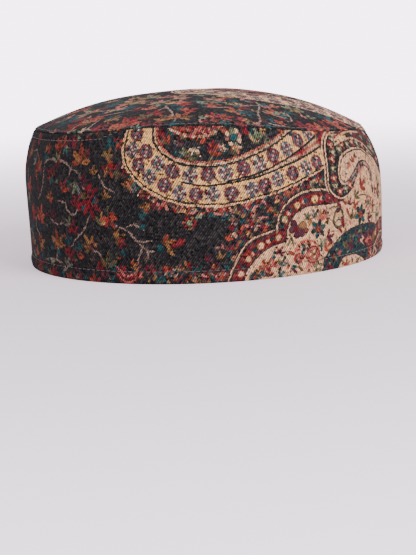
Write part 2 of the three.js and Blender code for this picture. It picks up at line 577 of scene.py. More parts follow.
# Shares of a leaf's size: how far its foot lies behind its place, how long its middle lobe is, how much
# shorter the others are for each degree, how wide a lobe is, also where it is alone, and the vein's size
FOOT_BEHIND = 0.42
MIDDLE_LOBE, SHORTER_ASIDE = 1.04, 0.0046
LOBE_WIDTH, SINGLE_WIDTH = 0.27, 0.40
VEIN_LENGTH, VEIN_WIDTH = 0.62, 0.07
# A hatch's length and start are shares of its lobe's length, and its width of the leaf's size
HATCH_LENGTH, HATCH_START, HATCH_WIDTH = 0.6, 0.3, 0.075
# The sizes from which a leaf has them, in millimetres
HATCHED_FROM = 4.5
VEINED_FROM = 4


def leaf(chart, u, v, size, heading, colours, lobes):
    """A woven leaf: pointed lobes that fan out from its foot, each with a fine hatch in the next colour,
    and a dark vein on the middle one."""
    colours = colours.split()
    fan = LEAF_FANS[lobes]
    base = np.array((u, v)) - FOOT_BEHIND * size * ahead(heading)
    for place, side in enumerate(fan):
        length = size * (MIDDLE_LOBE - SHORTER_ASIDE * abs(side))
        shape = petal(length, (LOBE_WIDTH if lobes > 1 else SINGLE_WIDTH) * size, heading + side)
        chart.shape(base, length, shape, colours[place % len(colours)])
        if lobes > 1 and size > HATCHED_FROM and len(colours) > 1:
            hatch = petal(HATCH_LENGTH * length, HATCH_WIDTH * size, heading + side, HATCH_START * length)
            chart.shape(base, length, hatch, colours[(place + 1) % len(colours)])
    if lobes > 1 and size > VEINED_FROM:
        vein = petal(VEIN_LENGTH * size, VEIN_WIDTH * size, heading)
        chart.shape(base, size, vein, "soot" if colours[0] != "soot" else "plum")


def leafage(chart, rows, scale=1.0):
    """A leaf for each row of a table."""
    for u, v, size, heading, colours, lobes in rows:
        leaf(chart, u, v, size * scale, heading, colours, lobes)


def dots(chart, u, v, count, ring, radius, colours, start=0.0):
    """A ring of dots in colours that take turns; start is where the first one lies, in dots."""
    for n in range(count):
        turn = 2 * math.pi * (n + start) / count
        dot = disc(radius, ring * math.cos(turn), ring * math.sin(turn))
        chart.shape((u, v), ring + radius, dot, colours[n % len(colours)])


# The flowers: the numbers that their sizes are multiplied by are shares of the whole flower


def blossom(chart, u, v, size, petals, colours):
    """A flower of round petals round a heart; the fewer they are, the larger."""
    heart, *ring = colours.split()
    dots(chart, u, v, petals, 0.32 * size, 0.468 * size / petals**0.75, ring, 0.25)
    chart.shape((u, v), size, disc(0.17 * size), heart)


def star(chart, u, v, size, petals, colours):
    """A flower of pointed petals, each with a dark edge, round a bright heart."""
    heart, first, second, edge = colours.split()
    for n in range(petals):
        turn = 360 * (n + 0.25) / petals
        foot = np.array((u, v)) + 0.1 * size * ahead(turn)
        chart.shape(foot, size, petal(0.44 * size, 0.21 * size, turn), (first, second)[n % 2], edge)
    for n in range(petals):
        chart.shape((u, v), size, petal(0.3 * size, 0.1 * size, 360 * (n + 0.75) / petals), heart)
    chart.shape((u, v), size, disc(0.12 * size), heart)


def ringed(chart, u, v, size, colours):
    """A round flower: a ring of dashes, a pale round inside it and small petals at the heart."""
    ring, dash, inner, heart, ground = colours.split()
    chart.shape((u, v), size, disc(0.44 * size), ground, ring, 0.9)
    dots(chart, u, v, 12, 0.4 * size, 0.08 * size, (dash,))
    for n in range(6):
        small_petal = petal(0.34 * size, 0.2 * size, 60 * n)
        chart.shape((u, v), size, small_petal, (inner, "cream")[n % 2], "soot", 0.3)
    chart.shape((u, v), size, disc(0.12 * size), heart)


# The rosettes of the boteh: their size, and the colours of ground, heart, outer dots and inner dots,
# with a slash between them
ROSETTE_SIZE = 7.6
ROSETTE_COLOURS = {
    "white": "slate/cream/ash ash sea ash red/ash red ash sea",
    "red": "slate/pink/red crimson/red ash crimson sea",
}


def rosette(chart, u, v, kind):
    """A round flower of dots in two rings round a heart, ten outside and eight inside."""
    size = ROSETTE_SIZE
    ground, heart, outer, inner = (part.split() for part in ROSETTE_COLOURS[kind].split("/"))
    chart.shape((u, v), size, disc(0.49 * size), ground[0])
    dots(chart, u, v, 10, 0.405 * size, 0.08 * size, outer, 0.5)
    dots(chart, u, v, 8, 0.24 * size, 0.068 * size, inner, 0.5)
    chart.shape((u, v), size, disc(0.085 * size), heart[0])


def within(point, outline):
    """Whether a flat point lies inside an outline of corners."""
    x, y = point
    inside = False
    for (x0, y0), (x1, y1) in zip(outline, outline[1:] + outline[:1]):
        if (y0 > y) != (y1 > y) and x < x0 + (y - y0) * (x1 - x0) / (y1 - y0):
            inside = not inside
    return inside


# How far a sprinkled leaf strays from its place in the rows, in steps, and how its size varies
STRAY = 0.45
SMALLEST, LARGEST = 0.75, 1.25


def sprinkle(chart, outline, step, size, heading, spread, colours, lobes=1):
    """Fills an outline with small leaves in slightly uneven rows, the same way each time: the draws start
    from its first corner."""
    colours = colours.split("/")
    chance = np.random.default_rng(round(outline[0][0] * 7 + outline[0][1] * 13) + 900)
    low, high = np.min(outline, axis=0), np.max(outline, axis=0)
    for v in np.arange(low[1], high[1], step):
        for u in np.arange(low[0], high[0], step):
            at = (u + chance.uniform(-STRAY, STRAY) * step, v + chance.uniform(-STRAY, STRAY) * step)
            turn, scale = heading + chance.uniform(-spread, spread), chance.uniform(SMALLEST, LARGEST)
            colour = colours[chance.integers(len(colours))]
            if within(at, outline):
                leaf(chart, at[0], at[1], size * scale, turn, colour, lobes)


# The pattern, charted in millimetres of the flat band: across from the middle of the front, and
# up from the rim. First the large pale boteh: its outer and inner edges on the band.
boteh_outer = [
    (-38.2, 78), (-38.2, 73), (-39.6, 66), (-39.7, 62), (-38, 56), (-34, 51), (-29, 46.5), (-23, 42.7),
    (-17, 39.9), (-10, 38), (-5, 37.3), (0, 36.8), (5, 36.6), (10, 36.7), (20, 38), (30, 39.9),
    (40, 42.2), (50, 45.3), (60, 48.6), (66, 51),
]
boteh_inner = [
    (-23.5, 78), (-23.5, 73), (-23, 67.5), (-19.5, 62.7), (-14, 58.7), (-7, 56.3), (1, 55.4), (9, 55.6),
    (17, 56.8), (25, 59), (35, 62.3), (45, 66.5), (54, 70.2), (66, 75),
]
# The part by which the boteh closes lies above the seam line, and the crown's own boteh shows it
crest_outer = [
    (-38.2, 76), (-37.5, 84), (-33, 93), (-26, 100.5), (-15, 106), (-2, 109), (12, 109), (26, 106.5),
    (40, 102), (54, 96), (68, 89), (82, 82.5), (94, 78), (106, 75.5), (116, 76),
]
crest_inner = [
    (-23.5, 76), (-23, 82), (-19.5, 88.5), (-13, 94), (-3, 97.5), (9, 98), (22, 96), (35, 91.5), (47, 86),
    (58, 80.5), (66, 75),
]
crest_rosettes = [
    (-30.4, 80), (-27.6, 88.4), (-21.4, 95), (-13.2, 100), (-3.6, 103), (6.2, 103.6), (16, 102.6),
    (25.6, 100), (34.8, 96.6), (43.8, 92.6), (52.6, 88.4), (61.4, 84), (70.2, 79.6), (70, 70),
    (78.6, 74.4), (79, 65), (87.6, 71), (97, 71.4),
]
# The two lines between the rows of rosettes, and the rosettes: across, up, kind
middle_low = [
    (-10, 48.7), (-3, 47), (1, 46.6), (5, 46.6), (15, 47.6), (25, 49), (35, 51.6), (45, 54.2), (55, 57),
    (68, 60.8),
]
middle_high = [(12, 48.3), (20, 49.5), (30, 51.8), (40, 55.3), (50, 59.2), (60, 63.2), (70, 67)]

rosettes = [
    (-34, 64, "white"), (-27, 63, "red"), (-21, 57.5, "white"), (-14.3, 54, "red"), (-6, 51.5, "white"),
    (2.5, 51.5, "red"), (11, 52, "white"), (20, 53.5, "red"), (28, 55, "white"), (36, 58.5, "red"),
    (44.5, 61, "white"), (53, 64.5, "red"), (61, 67.5, "white"), (-31, 57, "red"), (-25.5, 51.5, "white"),
    (-18.5, 47.5, "red"), (-11.5, 43.8, "white"), (-3.7, 42.8, "red"), (4, 42.3, "white"),
    (13, 42.3, "red"), (23, 43.5, "white"), (29.5, 45, "red"), (36.5, 47.3, "white"), (45, 49.5, "red"),
    (53.5, 51.5, "white"), (61, 53.5, "red"), (-32, 71.5, "red"),
]

# Leaves on black: across, up, size, heading in degrees, colours of the lobes, and their number
leaves = [
    (-66, 62.5, 12, 95, "ochre rust brown", 5), (-61.5, 63, 6, 30, "crimson plum", 3),
    (-57, 55, 6.5, 70, "ochre brown", 3), (-48, 62.5, 6.5, 60, "ochre olive", 5),
    (-47, 67.8, 5, 120, "teal deep", 3), (-42, 67.5, 6, 20, "orange red", 5),
    (-47, 54.5, 8, 300, "red rust ochre", 5), (-42, 57, 5, 60, "plum crimson", 3),
    (-42.5, 52.5, 6, 250, "olive brown", 3), (-50, 43.5, 5, 100, "ochre brown", 5),
    (-57.5, 44.5, 9, 20, "crimson red", 5), (-63, 42.5, 6, 60, "brown olive", 3),
    (-67, 40, 8.5, 60, "red crimson", 5), (-63.5, 37, 6, 250, "teal deep", 1),
    (-58.5, 35.5, 11, 280, "red crimson red", 5), (-56.5, 39.5, 5.5, 350, "teal deep", 3),
    (-53, 31, 8, 80, "gold olive ochre", 3), (-47.5, 30, 8.5, 300, "orange rust red", 5),
    (-49, 35.7, 4, 80, "olive", 1), (-43, 23, 7, 20, "brown ochre", 5),
    (-42, 19.5, 6, 350, "crimson red", 3), (-42, 16, 4.5, 300, "teal", 1),
    (-62, 19.5, 9, 120, "ochre brown", 5), (-59, 17.5, 6, 340, "plum crimson", 3),
    (-71.5, 27, 7.5, 80, "crimson red", 5), (-75.5, 29, 6, 140, "olive grey", 3),
    (-77, 46.5, 8.5, 60, "orange rust red", 3), (-73, 48, 5, 250, "teal deep", 3),
    (-69, 46, 8, 240, "olive grey sage", 3), (-62.5, 49.5, 7, 10, "plum crimson", 3),
    (-79, 67.5, 7, 30, "red coral", 3), (-78, 63.5, 6.5, 300, "teal sage", 3),
    (-82.5, 58, 6, 350, "crimson red", 5), (-85, 60, 7, 110, "olive sage", 3),
    (-96, 64.5, 6.5, 90, "rust ochre", 5), (-96, 60.5, 7, 350, "teal deep", 3),
    (-90.5, 52.5, 8, 150, "crimson red", 5), (-86.5, 52.5, 4.5, 330, "rust ochre", 1),
    (-88, 49, 6, 340, "teal olive", 3), (-90, 41, 6.5, 60, "rust ochre", 5),
    (-102, 31.5, 10, 70, "rust orange coral", 5), (-94, 32.5, 6, 30, "crimson plum", 3),
    (-87, 31, 7, 30, "plum crimson", 3), (-86, 20, 11, 100, "ochre rust brown", 5),
    (-85, 12.5, 5.5, 260, "teal deep", 3), (-91, 16, 6, 120, "deep teal", 3),
    (-79, 21, 4.5, 0, "orange rust", 3), (-77, 20, 7, 90, "teal deep", 3),
    (-75, 13, 8.5, 20, "crimson red", 5), (-68.5, 16.5, 6.5, 200, "teal deep", 3),
    (-68, 13, 5.5, 70, "orange rust", 3), (-78, 8.5, 7, 60, "grey olive", 3),
    (-56, 8, 6, 100, "red crimson", 3), (-50.5, 11, 10, 80, "olive brown", 3), (-47, 8, 5, 60, "teal", 3),
    (-42, 7.5, 4.5, 30, "red", 3), (-59.5, 1.5, 8, 90, "orange rust red", 5),
    (-66, 1.5, 5.5, 160, "teal deep", 3), (-77, 1, 7, 70, "rust orange", 3),
    (-90, 3, 7, 60, "crimson red", 5), (-53, 4, 5.5, 20, "plum crimson", 3),
    (-103, 16.5, 8.5, 20, "ochre rust", 5), (-106.5, 49.5, 4, 40, "coral rust", 3),
    (-103.5, 23.5, 4.5, 300, "teal deep", 3), (-105, 8.5, 5, 60, "teal deep", 3),
    (-100.5, 6.5, 4, 60, "crimson red", 3), (-112, 31, 9, 10, "red rust", 5),
    (-117, 24, 7, 340, "teal deep", 3), (-105, 56, 9, 100, "red rust ochre", 5),
    (-112, 57.5, 6, 160, "grey sage", 3), (-112, 68.5, 8, 20, "red coral", 3),
    (-103, 44, 6, 30, "plum crimson", 3), (-97, 10, 6, 200, "deep teal", 3),
    (-107, 5, 8, 30, "rust red", 5), (-119, 45, 9, 60, "rust coral red", 5),
    (-122, 37.5, 7, 200, "sage olive", 3), (-124, 62, 8, 120, "ochre rust", 5),
    (-131, 54, 8, 40, "crimson red", 5), (-128, 47, 6, 330, "teal deep", 3),
    (-134, 38, 9, 70, "orange rust red", 5), (-127, 27, 6, 20, "plum crimson", 3),
    (-136, 24, 8, 110, "ochre brown", 5), (-124, 15, 8, 60, "red crimson", 5),
    (-131, 10, 6, 240, "teal deep", 3), (-117, 9, 7, 80, "olive sage", 3),
    (-138, 4, 7, 50, "rust orange", 5), (-137, 66, 6, 60, "teal deep", 3),
    (-141, 47, 7, 100, "olive brown", 3), (-144, 33, 8, 20, "crimson red", 5),
    (-143, 14, 7, 70, "ochre rust", 5), (-146, 58, 8, 80, "orange red rust", 5),
    (-148, 24, 6, 300, "teal deep", 3), (-90, 2, 5, 80, "crimson red", 3),
    (-83, 2.5, 5, 40, "teal deep", 3), (-71.5, 2, 4, 70, "stem pink", 3),
    (-68.5, 1.5, 4.5, 20, "crimson red", 3), (-110, 2.5, 5, 80, "rust coral", 3),
    (-117, 4.2, 5, 60, "crimson plum", 3), (-100.5, 3, 4.5, 30, "teal deep", 3),
    (-96, 2, 4.5, 60, "ochre sage", 3), (-92.5, 7.2, 5, 30, "sage stem", 3),
    (-94, 13.5, 5, 60, "deep teal", 3), (-118, 16, 8, 80, "sage rust", 3),
    (-112, 11, 7, 70, "coral rust", 3), (-81, 5.2, 4, 100, "stem", 3), (-48.5, 2, 4, 60, "teal sage", 3),
    (-72, 6, 4, 60, "plum", 3), (-29.5, 37, 6, 160, "ochre rust", 5), (-30, 34, 6.5, 350, "teal deep", 3),
    (-24, 38, 5, 60, "red crimson", 3), (-8, 35, 5, 70, "orange ochre", 3),
    (-2.5, 32.5, 4.5, 300, "sage cream", 3), (3, 34, 6, 40, "teal deep", 3),
    (8, 34.8, 5, 20, "coral red", 3), (10, 31.5, 5, 300, "teal", 3), (17, 34, 5.5, 60, "plum crimson", 3),
    (17.5, 29.5, 5, 250, "teal deep", 3), (22.5, 32.5, 5.5, 30, "orange rust", 3),
    (23, 27.5, 5.5, 300, "red sage", 5), (29, 25, 5, 30, "orange red", 3),
    (32, 34, 5, 60, "ochre red", 3), (37, 37.5, 4.5, 40, "orange rust", 3), (27, 36, 4, 80, "teal", 3),
    (13, 26, 4.5, 60, "crimson red", 3), (-13, 35.5, 4, 80, "gold ochre", 3),
    (-36, 49, 7, 60, "ochre brown", 5), (-33.5, 46.8, 5.5, 340, "grey teal", 3),
    (-28, 43, 4.5, 30, "crimson red", 3), (-18, 20.5, 8, 10, "ochre rust", 3),
    (-22.5, 17, 5, 200, "teal deep", 3), (-14, 19.5, 9, 25, "red crimson", 1),
    (-17.5, 15.6, 5, 330, "ochre brown", 1), (-31, 27.5, 4, 30, "teal", 1),
    (-27.5, 8, 5.5, 60, "red crimson", 5), (-19, 7.5, 5.5, 40, "orange red", 5),
    (-13, 8, 4.5, 80, "ochre gold", 3), (-9, 9.5, 5, 60, "red ochre", 3),
    (-3.5, 7.5, 4.5, 50, "teal orange", 3), (3.5, 8, 4.5, 60, "red crimson", 3),
    (6.5, 13, 5, 100, "ochre brown", 3), (9, 7, 4, 320, "teal", 3), (7, 3.5, 4.5, 70, "orange rust", 3),
    (12, 16, 5.5, 80, "red crimson", 3), (10.5, 21.5, 4.5, 60, "orange rust", 3),
    (16, 18, 4.5, 120, "teal deep", 3), (17.5, 22, 4.5, 60, "plum crimson", 3),
    (21, 22, 4, 30, "ochre gold", 3), (1, 12, 4.5, 60, "plum crimson", 3),
    (-36, 9.5, 6, 20, "ochre rust", 3), (-38.5, 3.5, 5, 50, "red crimson", 3),
    (-43, 2.5, 5, 200, "teal deep", 3), (-33, 4.5, 4, 60, "coral red", 3),
    (-24, 2.5, 4.5, 30, "teal deep", 3), (-14, 2.5, 4, 60, "crimson", 3), (-6, 2, 4, 80, "ochre", 3),
]

# Buds in the boteh's fringe and near the border: across, up, size, colour
buds = [
    (-22, 37.5, 3.6, "red"), (-18, 38, 4, "coral"), (-14, 37, 3.4, "red"), (-11, 36, 3.2, "gold"),
    (-5, 34.5, 3, "cream"), (1, 35, 3, "rust"), (6, 33, 3.2, "crimson"), (13, 34, 3.4, "sage"),
    (20, 35.5, 3.4, "red"), (24, 35, 3.2, "teal"), (29, 36.6, 3.2, "crimson"), (34.5, 38, 3.2, "gold"),
    (13, 29.5, 3.2, "ochre"), (20, 26.5, 3.2, "crimson"), (26, 29.5, 3.4, "ochre"), (30, 30, 3.2, "teal"),
    (26, 25.5, 3, "plum"), (14, 22.5, 3, "cream"), (8, 17, 3, "crimson"), (12.5, 12, 3, "ochre"),
    (5, 17, 2.6, "teal"), (-1, 3.5, 3, "crimson"), (3, 4, 3.2, "teal"), (10, 2, 3, "plum"),
    (-30, 12, 2.6, "rust"), (-45, 13, 3, "rust"), (-52, 22, 3, "plum"), (-66, 53, 2.6, "teal"),
    (-83.5, 48, 2.6, "sage"), (-72, 10, 3, "crimson"), (-60, 11, 2.8, "plum"), (-95, 26, 3.2, "teal"),
    (-70, 70.5, 3, "sage"), (-62, 71, 3.6, "red"), (-55, 71.5, 3.4, "ochre"), (-48, 72.5, 3.2, "crimson"),
]

# Colours of the small leaves that are sprinkled on black, and the ground beside the boteh for them
leaf_colours = "crimson red/olive brown/teal deep/ochre rust/red plum/rust orange/sage olive/deep teal"
left_shoulder = [(-150, 64), (-42, 67), (-42, 74), (-150, 74)]

# Ground with fine slanting bits of colour: outline, step, size, heading, colours
fringe_colours = "red/pink/teal/coral/crimson/ochre/soot/soot/teal/rust/cream"
streaked_ground = [
    ([(-41, 50), (-36, 45), (-28, 40), (-20, 37), (-10, 34), (0, 32.5), (12, 33), (24, 35), (36, 38),
      (46, 41), (60, 45), (60, 48), (46, 44), (30, 40), (20, 38), (8, 36.6), (-3, 37), (-14, 39),
      (-24, 43), (-33, 50), (-39, 58)],
     1.7, 2.3, 45, fringe_colours),
    ([(2, 33), (12, 33), (24, 35.5), (36, 38.5), (48, 42), (62, 46), (62, 41), (50, 40.5), (42, 37.5),
      (36, 31), (34, 23), (24, 20), (16, 15), (11, 6), (8, 0), (3, 0), (6, 8), (10, 16), (14, 24),
      (14, 29)],
     2.1, 2.7, 52, "red/black/rust/orange/teal/soot/olive/plum/ochre/stem/black/teal"),
    ([(-30, 0), (9, 0), (11, 6), (4, 9), (-6, 8), (-18, 9), (-30, 8)], 1.9, 2.5, 52,
     "red/crimson/rust/teal/deep/olive/ochre/stem/plum/soot"),
    ([(-22, 73), (-20, 66), (-12, 61), (0, 58.5), (14, 60), (28, 63), (42, 68), (52, 72), (48, 76),
      (-20, 77)],
     2.2, 2.4, 60, "plum/teal/crimson/olive/soot/red/sage/stem/soot/rust"),
]

# Stems of the leaves on black
stems = [
    [(-97, 50), (-97, 56), (-94, 58.5), (-88, 59), (-80, 58.5), (-75, 57), (-72, 55), (-66, 53),
     (-65, 50), (-63, 46)],
    [(-72, 55), (-73, 52)], [(-63, 27), (-66, 24), (-70, 21), (-74, 17)], [(-61, 31), (-63, 27)],
    [(-68, 35), (-70, 33), (-73, 33), (-76, 36), (-76, 38), (-82, 39)],
    [(-97, 50), (-98.5, 45), (-101, 41.5), (-104, 39)], [(-66, 37), (-68, 35)],
    [(-45, 28), (-42, 27), (-38, 25), (-34, 21), (-31, 18), (-28, 16), (-26, 16)], [(-38, 28), (-35, 29)],
    [(-31, 18), (-33, 14), (-34, 11)], [(-29, 17), (-28.5, 12)], [(-34, 21), (-30, 20.5), (-27, 21)],
    [(-34, 28.5), (-31, 26.5)], [(-88, 10), (-86, 15), (-90, 20)], [(-100, 8), (-92, 9), (-84, 8)],
    [(-52, 8), (-55, 14), (-60, 16)], [(-46, 45), (-50, 47), (-53, 52)],
    [(-80, 28), (-85, 27), (-90, 29)], [(-124, 52), (-121, 46), (-116, 43)],
    [(-130, 20), (-124, 21), (-118, 19)], [(-140, 40), (-142, 28), (-138, 18)],
    [(-108, 60), (-112, 62.5), (-116, 62)], [(-106, 20), (-110, 24), (-109, 29)],
]

# The large cream paisley: the edge of its ground at the far side, round at the side of the cap, then the
# whole ground, and the red border along its near side
far_edge = [
    (127, 42.5), (132, 41.5), (137, 38), (142, 38.4), (147, 36), (149.5, 32), (154, 30), (156, 25),
    (153, 20), (148, 18.4), (142, 19.8), (135, 19.6), (129, 18.4), (122, 18.8), (116, 17.8), (112, 16.5),
    (109.5, 14), (107.8, 12.5), (105.8, 9.5), (103.2, 7), (100.6, 4.6), (98.5, 3), (96.8, 0.2),
    (95.5, -6),
]
cream_ground = [
    (17, -6), (18, 4), (23, 10), (29, 14.5), (37, 16.8), (39.2, 17.2), (40.5, 24.5), (44.5, 30),
    (50, 32.7), (58, 33), (70, 32.8), (78, 33.6), (84, 37), (88, 42), (94, 47), (90, 56), (100, 57),
    (110, 54.5), (118, 51), (124, 46),
] + far_edge
border = [
    (10, -6), (10.5, 0), (12, 4), (14.5, 9), (17, 13.5), (20, 17), (23, 19.2), (27, 20.3), (31, 21.3),
    (34.4, 22.3), (36.3, 26), (38, 30), (41, 33.5), (45, 36.8), (50, 38.3), (56, 38.8), (62, 38.2),
    (68, 36.8), (74, 34.4), (78, 33.4), (70, 32.7), (64, 32.8), (58, 33), (52, 33), (48, 32), (44.5, 30),
    (42, 27.5), (40.5, 24.5), (39.9, 21), (39.2, 17), (37, 16.8), (33, 16), (29, 14.5), (26, 12.5),
    (23, 10), (20, 6.5), (18, 4), (17, 0), (16.5, -6),
]
# The red border on the far side: its outer edge, and past it a ground with rows of small pale strokes
far_outside = [
    (127, 44.5), (132, 46), (138, 44.5), (143, 44.8), (150, 42), (153, 37.5), (159, 35), (162.5, 28),
    (160.5, 19), (155, 13.5), (148, 12), (141, 13.6), (135, 12.8), (129, 11.6), (122, 12.4), (117, 11.2),
    (112.5, 8.6), (109.5, 5.8), (106, 3.4), (102.5, 1), (100, -1.5), (98.5, -6),
]
far_fringe = far_outside[:9:-1] + [(152, 8), (149.5, 3), (144, -1), (141, -6)]
# Lines of the near border: pale ones, and dark edges
border_lines = [
    [(8.5, -4), (9.5, 0), (11, 4), (13.5, 9), (16, 14), (19, 17.5), (22, 19.9), (26, 21.4), (30, 22.4),
     (33, 23.2)],
    [(34.6, 23), (35, 26), (36, 29.5), (38, 33), (41, 36), (45, 38.5), (50, 40), (56, 40.6), (62, 40.3),
     (66, 39.4)],
]
border_edges = [
    [(9.8, -4), (10.8, 1), (12.4, 5), (14.8, 9.6), (17.3, 14), (20, 17.3), (24, 19.8), (30, 21.3),
     (34, 22.5)],
    [(35.6, 23), (36.3, 26), (38, 30.4), (41, 34.2), (45, 37.4), (50, 39), (56, 39.5), (62, 39),
     (68, 37.6), (73, 35.4)],
    [(16.5, -4), (18, 4), (20, 6.5), (23, 10), (26, 12.5), (29, 14.5), (33, 16), (37, 16.8), (39.2, 17.2),
     (39.7, 21), (40.5, 24.5), (42, 27.5), (44.5, 30), (48, 32), (52, 33), (58, 33), (64, 32.8),
     (70, 32.7), (78, 33.4)],
]
# Beads on the red border: across, up, size, and the colours of bead and rim
beads = [
    (15.8, 3.5, 3, "cream coral"), (17.5, 7, 2, "teal soot"), (20, 10.5, 3, "cream ochre"),
    (21.9, 12.9, 1.8, "cream coral"), (23.2, 14.2, 1.8, "teal soot"), (26.3, 16.3, 3.6, "cream ochre"),
    (30, 18, 2.2, "cream coral"), (31.8, 18.8, 2, "teal soot"), (35.5, 19.4, 3, "cream ochre"),
    (37.6, 24.6, 2.2, "teal soot"), (38.9, 27.8, 3.2, "sand sage"), (41, 30.8, 2, "cream coral"),
    (42.3, 31.8, 2, "teal soot"), (46, 34, 3.4, "sand ochre"), (49.4, 35.4, 2, "cream coral"),
    (51, 36, 2.4, "teal soot"), (56.8, 36, 4.2, "sand ochre"), (60.8, 36, 2, "cream coral"),
    (62.8, 36, 2.2, "teal soot"), (66.5, 35.6, 1.8, "coral crimson"), (103.5, 3.2, 1.8, "cream coral"),
    (107.6, 7.8, 2, "teal soot"), (112, 12.2, 2.6, "sand ochre"), (119, 15.2, 2.2, "cream coral"),
    (126, 15.4, 2.2, "teal soot"), (133, 16.2, 2.8, "sand ochre"), (141, 16.6, 2.2, "cream coral"),
    (149, 15.2, 2.4, "teal soot"), (156.5, 19, 3, "sand ochre"), (158.6, 26, 2.2, "cream coral"),
    (154, 33.4, 2.8, "sand ochre"), (148.6, 38.8, 2.2, "teal soot"), (141.5, 41.6, 2.6, "cream coral"),
    (134.5, 42.8, 2.2, "teal soot"),
]
# The teal paisley within the cream one, and the cream heart in its middle
teal_paisley = [
    (60, -6), (60.8, 0), (62.2, 5), (65, 9), (69, 12), (73, 14.5), (77, 16.3), (83, 17.8), (90, 18.6),
    (96.2, 18.8), (103, 18.3), (108, 17.6), (111.4, 16.3), (109.2, 14), (107.4, 12.5), (105.4, 9.5),
    (102.8, 7), (100.2, 4.6), (98.1, 3), (96.4, 0.2), (95.1, -6),
]
teal_heart = [
    (72, -6), (72, 0), (73, 2.5), (75.5, 4.5), (79, 5), (84, 5), (88, 4.5), (91, 3), (95, 1), (97, -6),
]
# The long pale leaf near the teal paisley's far end, in single strokes: the same columns as for leaves
teal_strokes = [
    (98, 10.8, 15, 350, "cream", 1), (99.6, 9.8, 13, 350, "plum", 1), (101.6, 9.6, 10, 350, "coral", 1),
    (103, 9, 6, 350, "crimson", 1), (97, 13.4, 8, 345, "plum", 1), (103, 13.6, 7, 340, "crimson", 1),
    (106.2, 15, 5, 340, "plum", 1), (99, 6.6, 6, 350, "soot", 1), (96.6, 3.4, 6, 330, "deep", 1),
]
# Leaves and flowers on the cream ground; the flowers' columns are across, up, size, petals and colours
cream_leaves = [
    (41.8, 11.5, 4, 330, "rust red", 1), (36.6, 13.4, 4.4, 60, "plum crimson", 5),
    (33, 12.5, 2.6, 80, "teal", 1), (32.3, 9.8, 3, 300, "teal", 3),
    (29.5, 7.2, 5.2, 60, "orange rust red", 5), (33.6, 7.4, 4, 30, "red coral", 3),
    (37.5, 7.5, 4.8, 60, "teal olive deep", 3), (60.5, 26.3, 6, 5, "coral", 1),
    (52, 29, 3.6, 80, "olive sage", 3), (56, 29.3, 4, 120, "deep teal", 3),
    (60, 29.5, 3.2, 60, "ochre plum", 3), (64, 29.5, 4, 70, "plum crimson", 3),
    (53.5, 24.7, 3.4, 230, "ochre", 3), (64.2, 24.2, 3, 200, "brown olive", 3),
    (66.5, 16.5, 5.6, 20, "plum crimson", 3), (64.5, 12.2, 5.6, 25, "orange rust", 3),
    (60.5, 14.2, 4.6, 120, "sage olive", 3), (60.3, 12, 2.6, 260, "teal", 1),
    (84.6, 25.2, 5.4, 80, "olive brown", 3), (88, 30, 5.2, 20, "rust orange", 3),
    (83, 32, 4.2, 60, "plum crimson", 3), (89, 35, 5, 30, "olive brown", 3),
    (95.5, 39.5, 6.6, 30, "rust red", 3), (82, 22, 3, 300, "coral", 1), (78, 32, 3.6, 330, "rust", 1),
    (73.5, 31.5, 4, 320, "crimson", 1), (80.5, 27.5, 4, 290, "rust", 1),
    (107.5, 27, 5, 350, "crimson rust", 3), (110.5, 8.4, 4, 60, "brown olive", 1),
    (103, 21.5, 5.5, 10, "plum crimson", 3), (114, 21.5, 6, 350, "olive sage", 3),
    (112, 35, 5, 350, "rust crimson", 3), (119, 36, 6, 10, "plum soot", 3),
    (123, 25.5, 5, 355, "rust plum", 3), (118, 41, 5, 80, "sage olive", 3),
    (107.4, 36.6, 5, 280, "soot stem", 1), (110, 46, 5, 100, "coral red", 3),
    (95, 22, 3.5, 200, "olive", 1), (137, 28.6, 6, 350, "grey olive", 3),
    (145.5, 24, 5, 350, "rust red", 3), (134, 33.5, 4, 60, "plum rust", 3),
    (150, 27, 4, 300, "teal olive", 3), (22, 1.4, 4.4, 10, "teal deep", 3),
    (24.2, 4, 3.2, 300, "ochre rust", 3), (26.6, 2.5, 3.8, 330, "teal deep", 3),
    (30, 3, 4, 80, "plum crimson", 3), (36.5, 2, 4.6, 20, "teal deep", 3),
    (43.2, 3, 4.4, 310, "plum teal", 3), (46.5, 3.6, 3.4, 320, "brown", 1),
    (51.6, 3, 4, 290, "pink coral", 3), (40, 4.8, 2.6, 60, "coral", 1),
]
cream_stars = [
    (58.5, 21.3, 9, 6, "rust teal deep soot"), (92.6, 24.4, 10, 6, "rust deep teal soot"),
    (57.6, 3, 5.4, 5, "cream sage olive soot"), (22.6, 1.6, 5, 5, "rust teal deep soot"),
    (117, 32, 6, 5, "red teal sage soot"),
]
cream_rings = [
    (49.7, 12.4, 8.4, "coral red teal soot cream"), (54.8, 9.2, 7.8, "crimson coral coral ochre pink"),
    (46.2, 8, 3.8, "red coral pink coral pink"),
]
# The round petals of the dark flower: across, up, radius, colour
block_flower = [
    (43.8, 25.4, 1.6, "plum"), (42.8, 22.4, 1.4, "plum"), (45.7, 22.4, 1.7, "crimson"),
    (48.9, 23.8, 2.0, "ochre"), (48.3, 20.4, 1.7, "plum"), (45.2, 19.6, 1.3, "plum"),
    (51, 21.4, 1.1, "rust"),
]
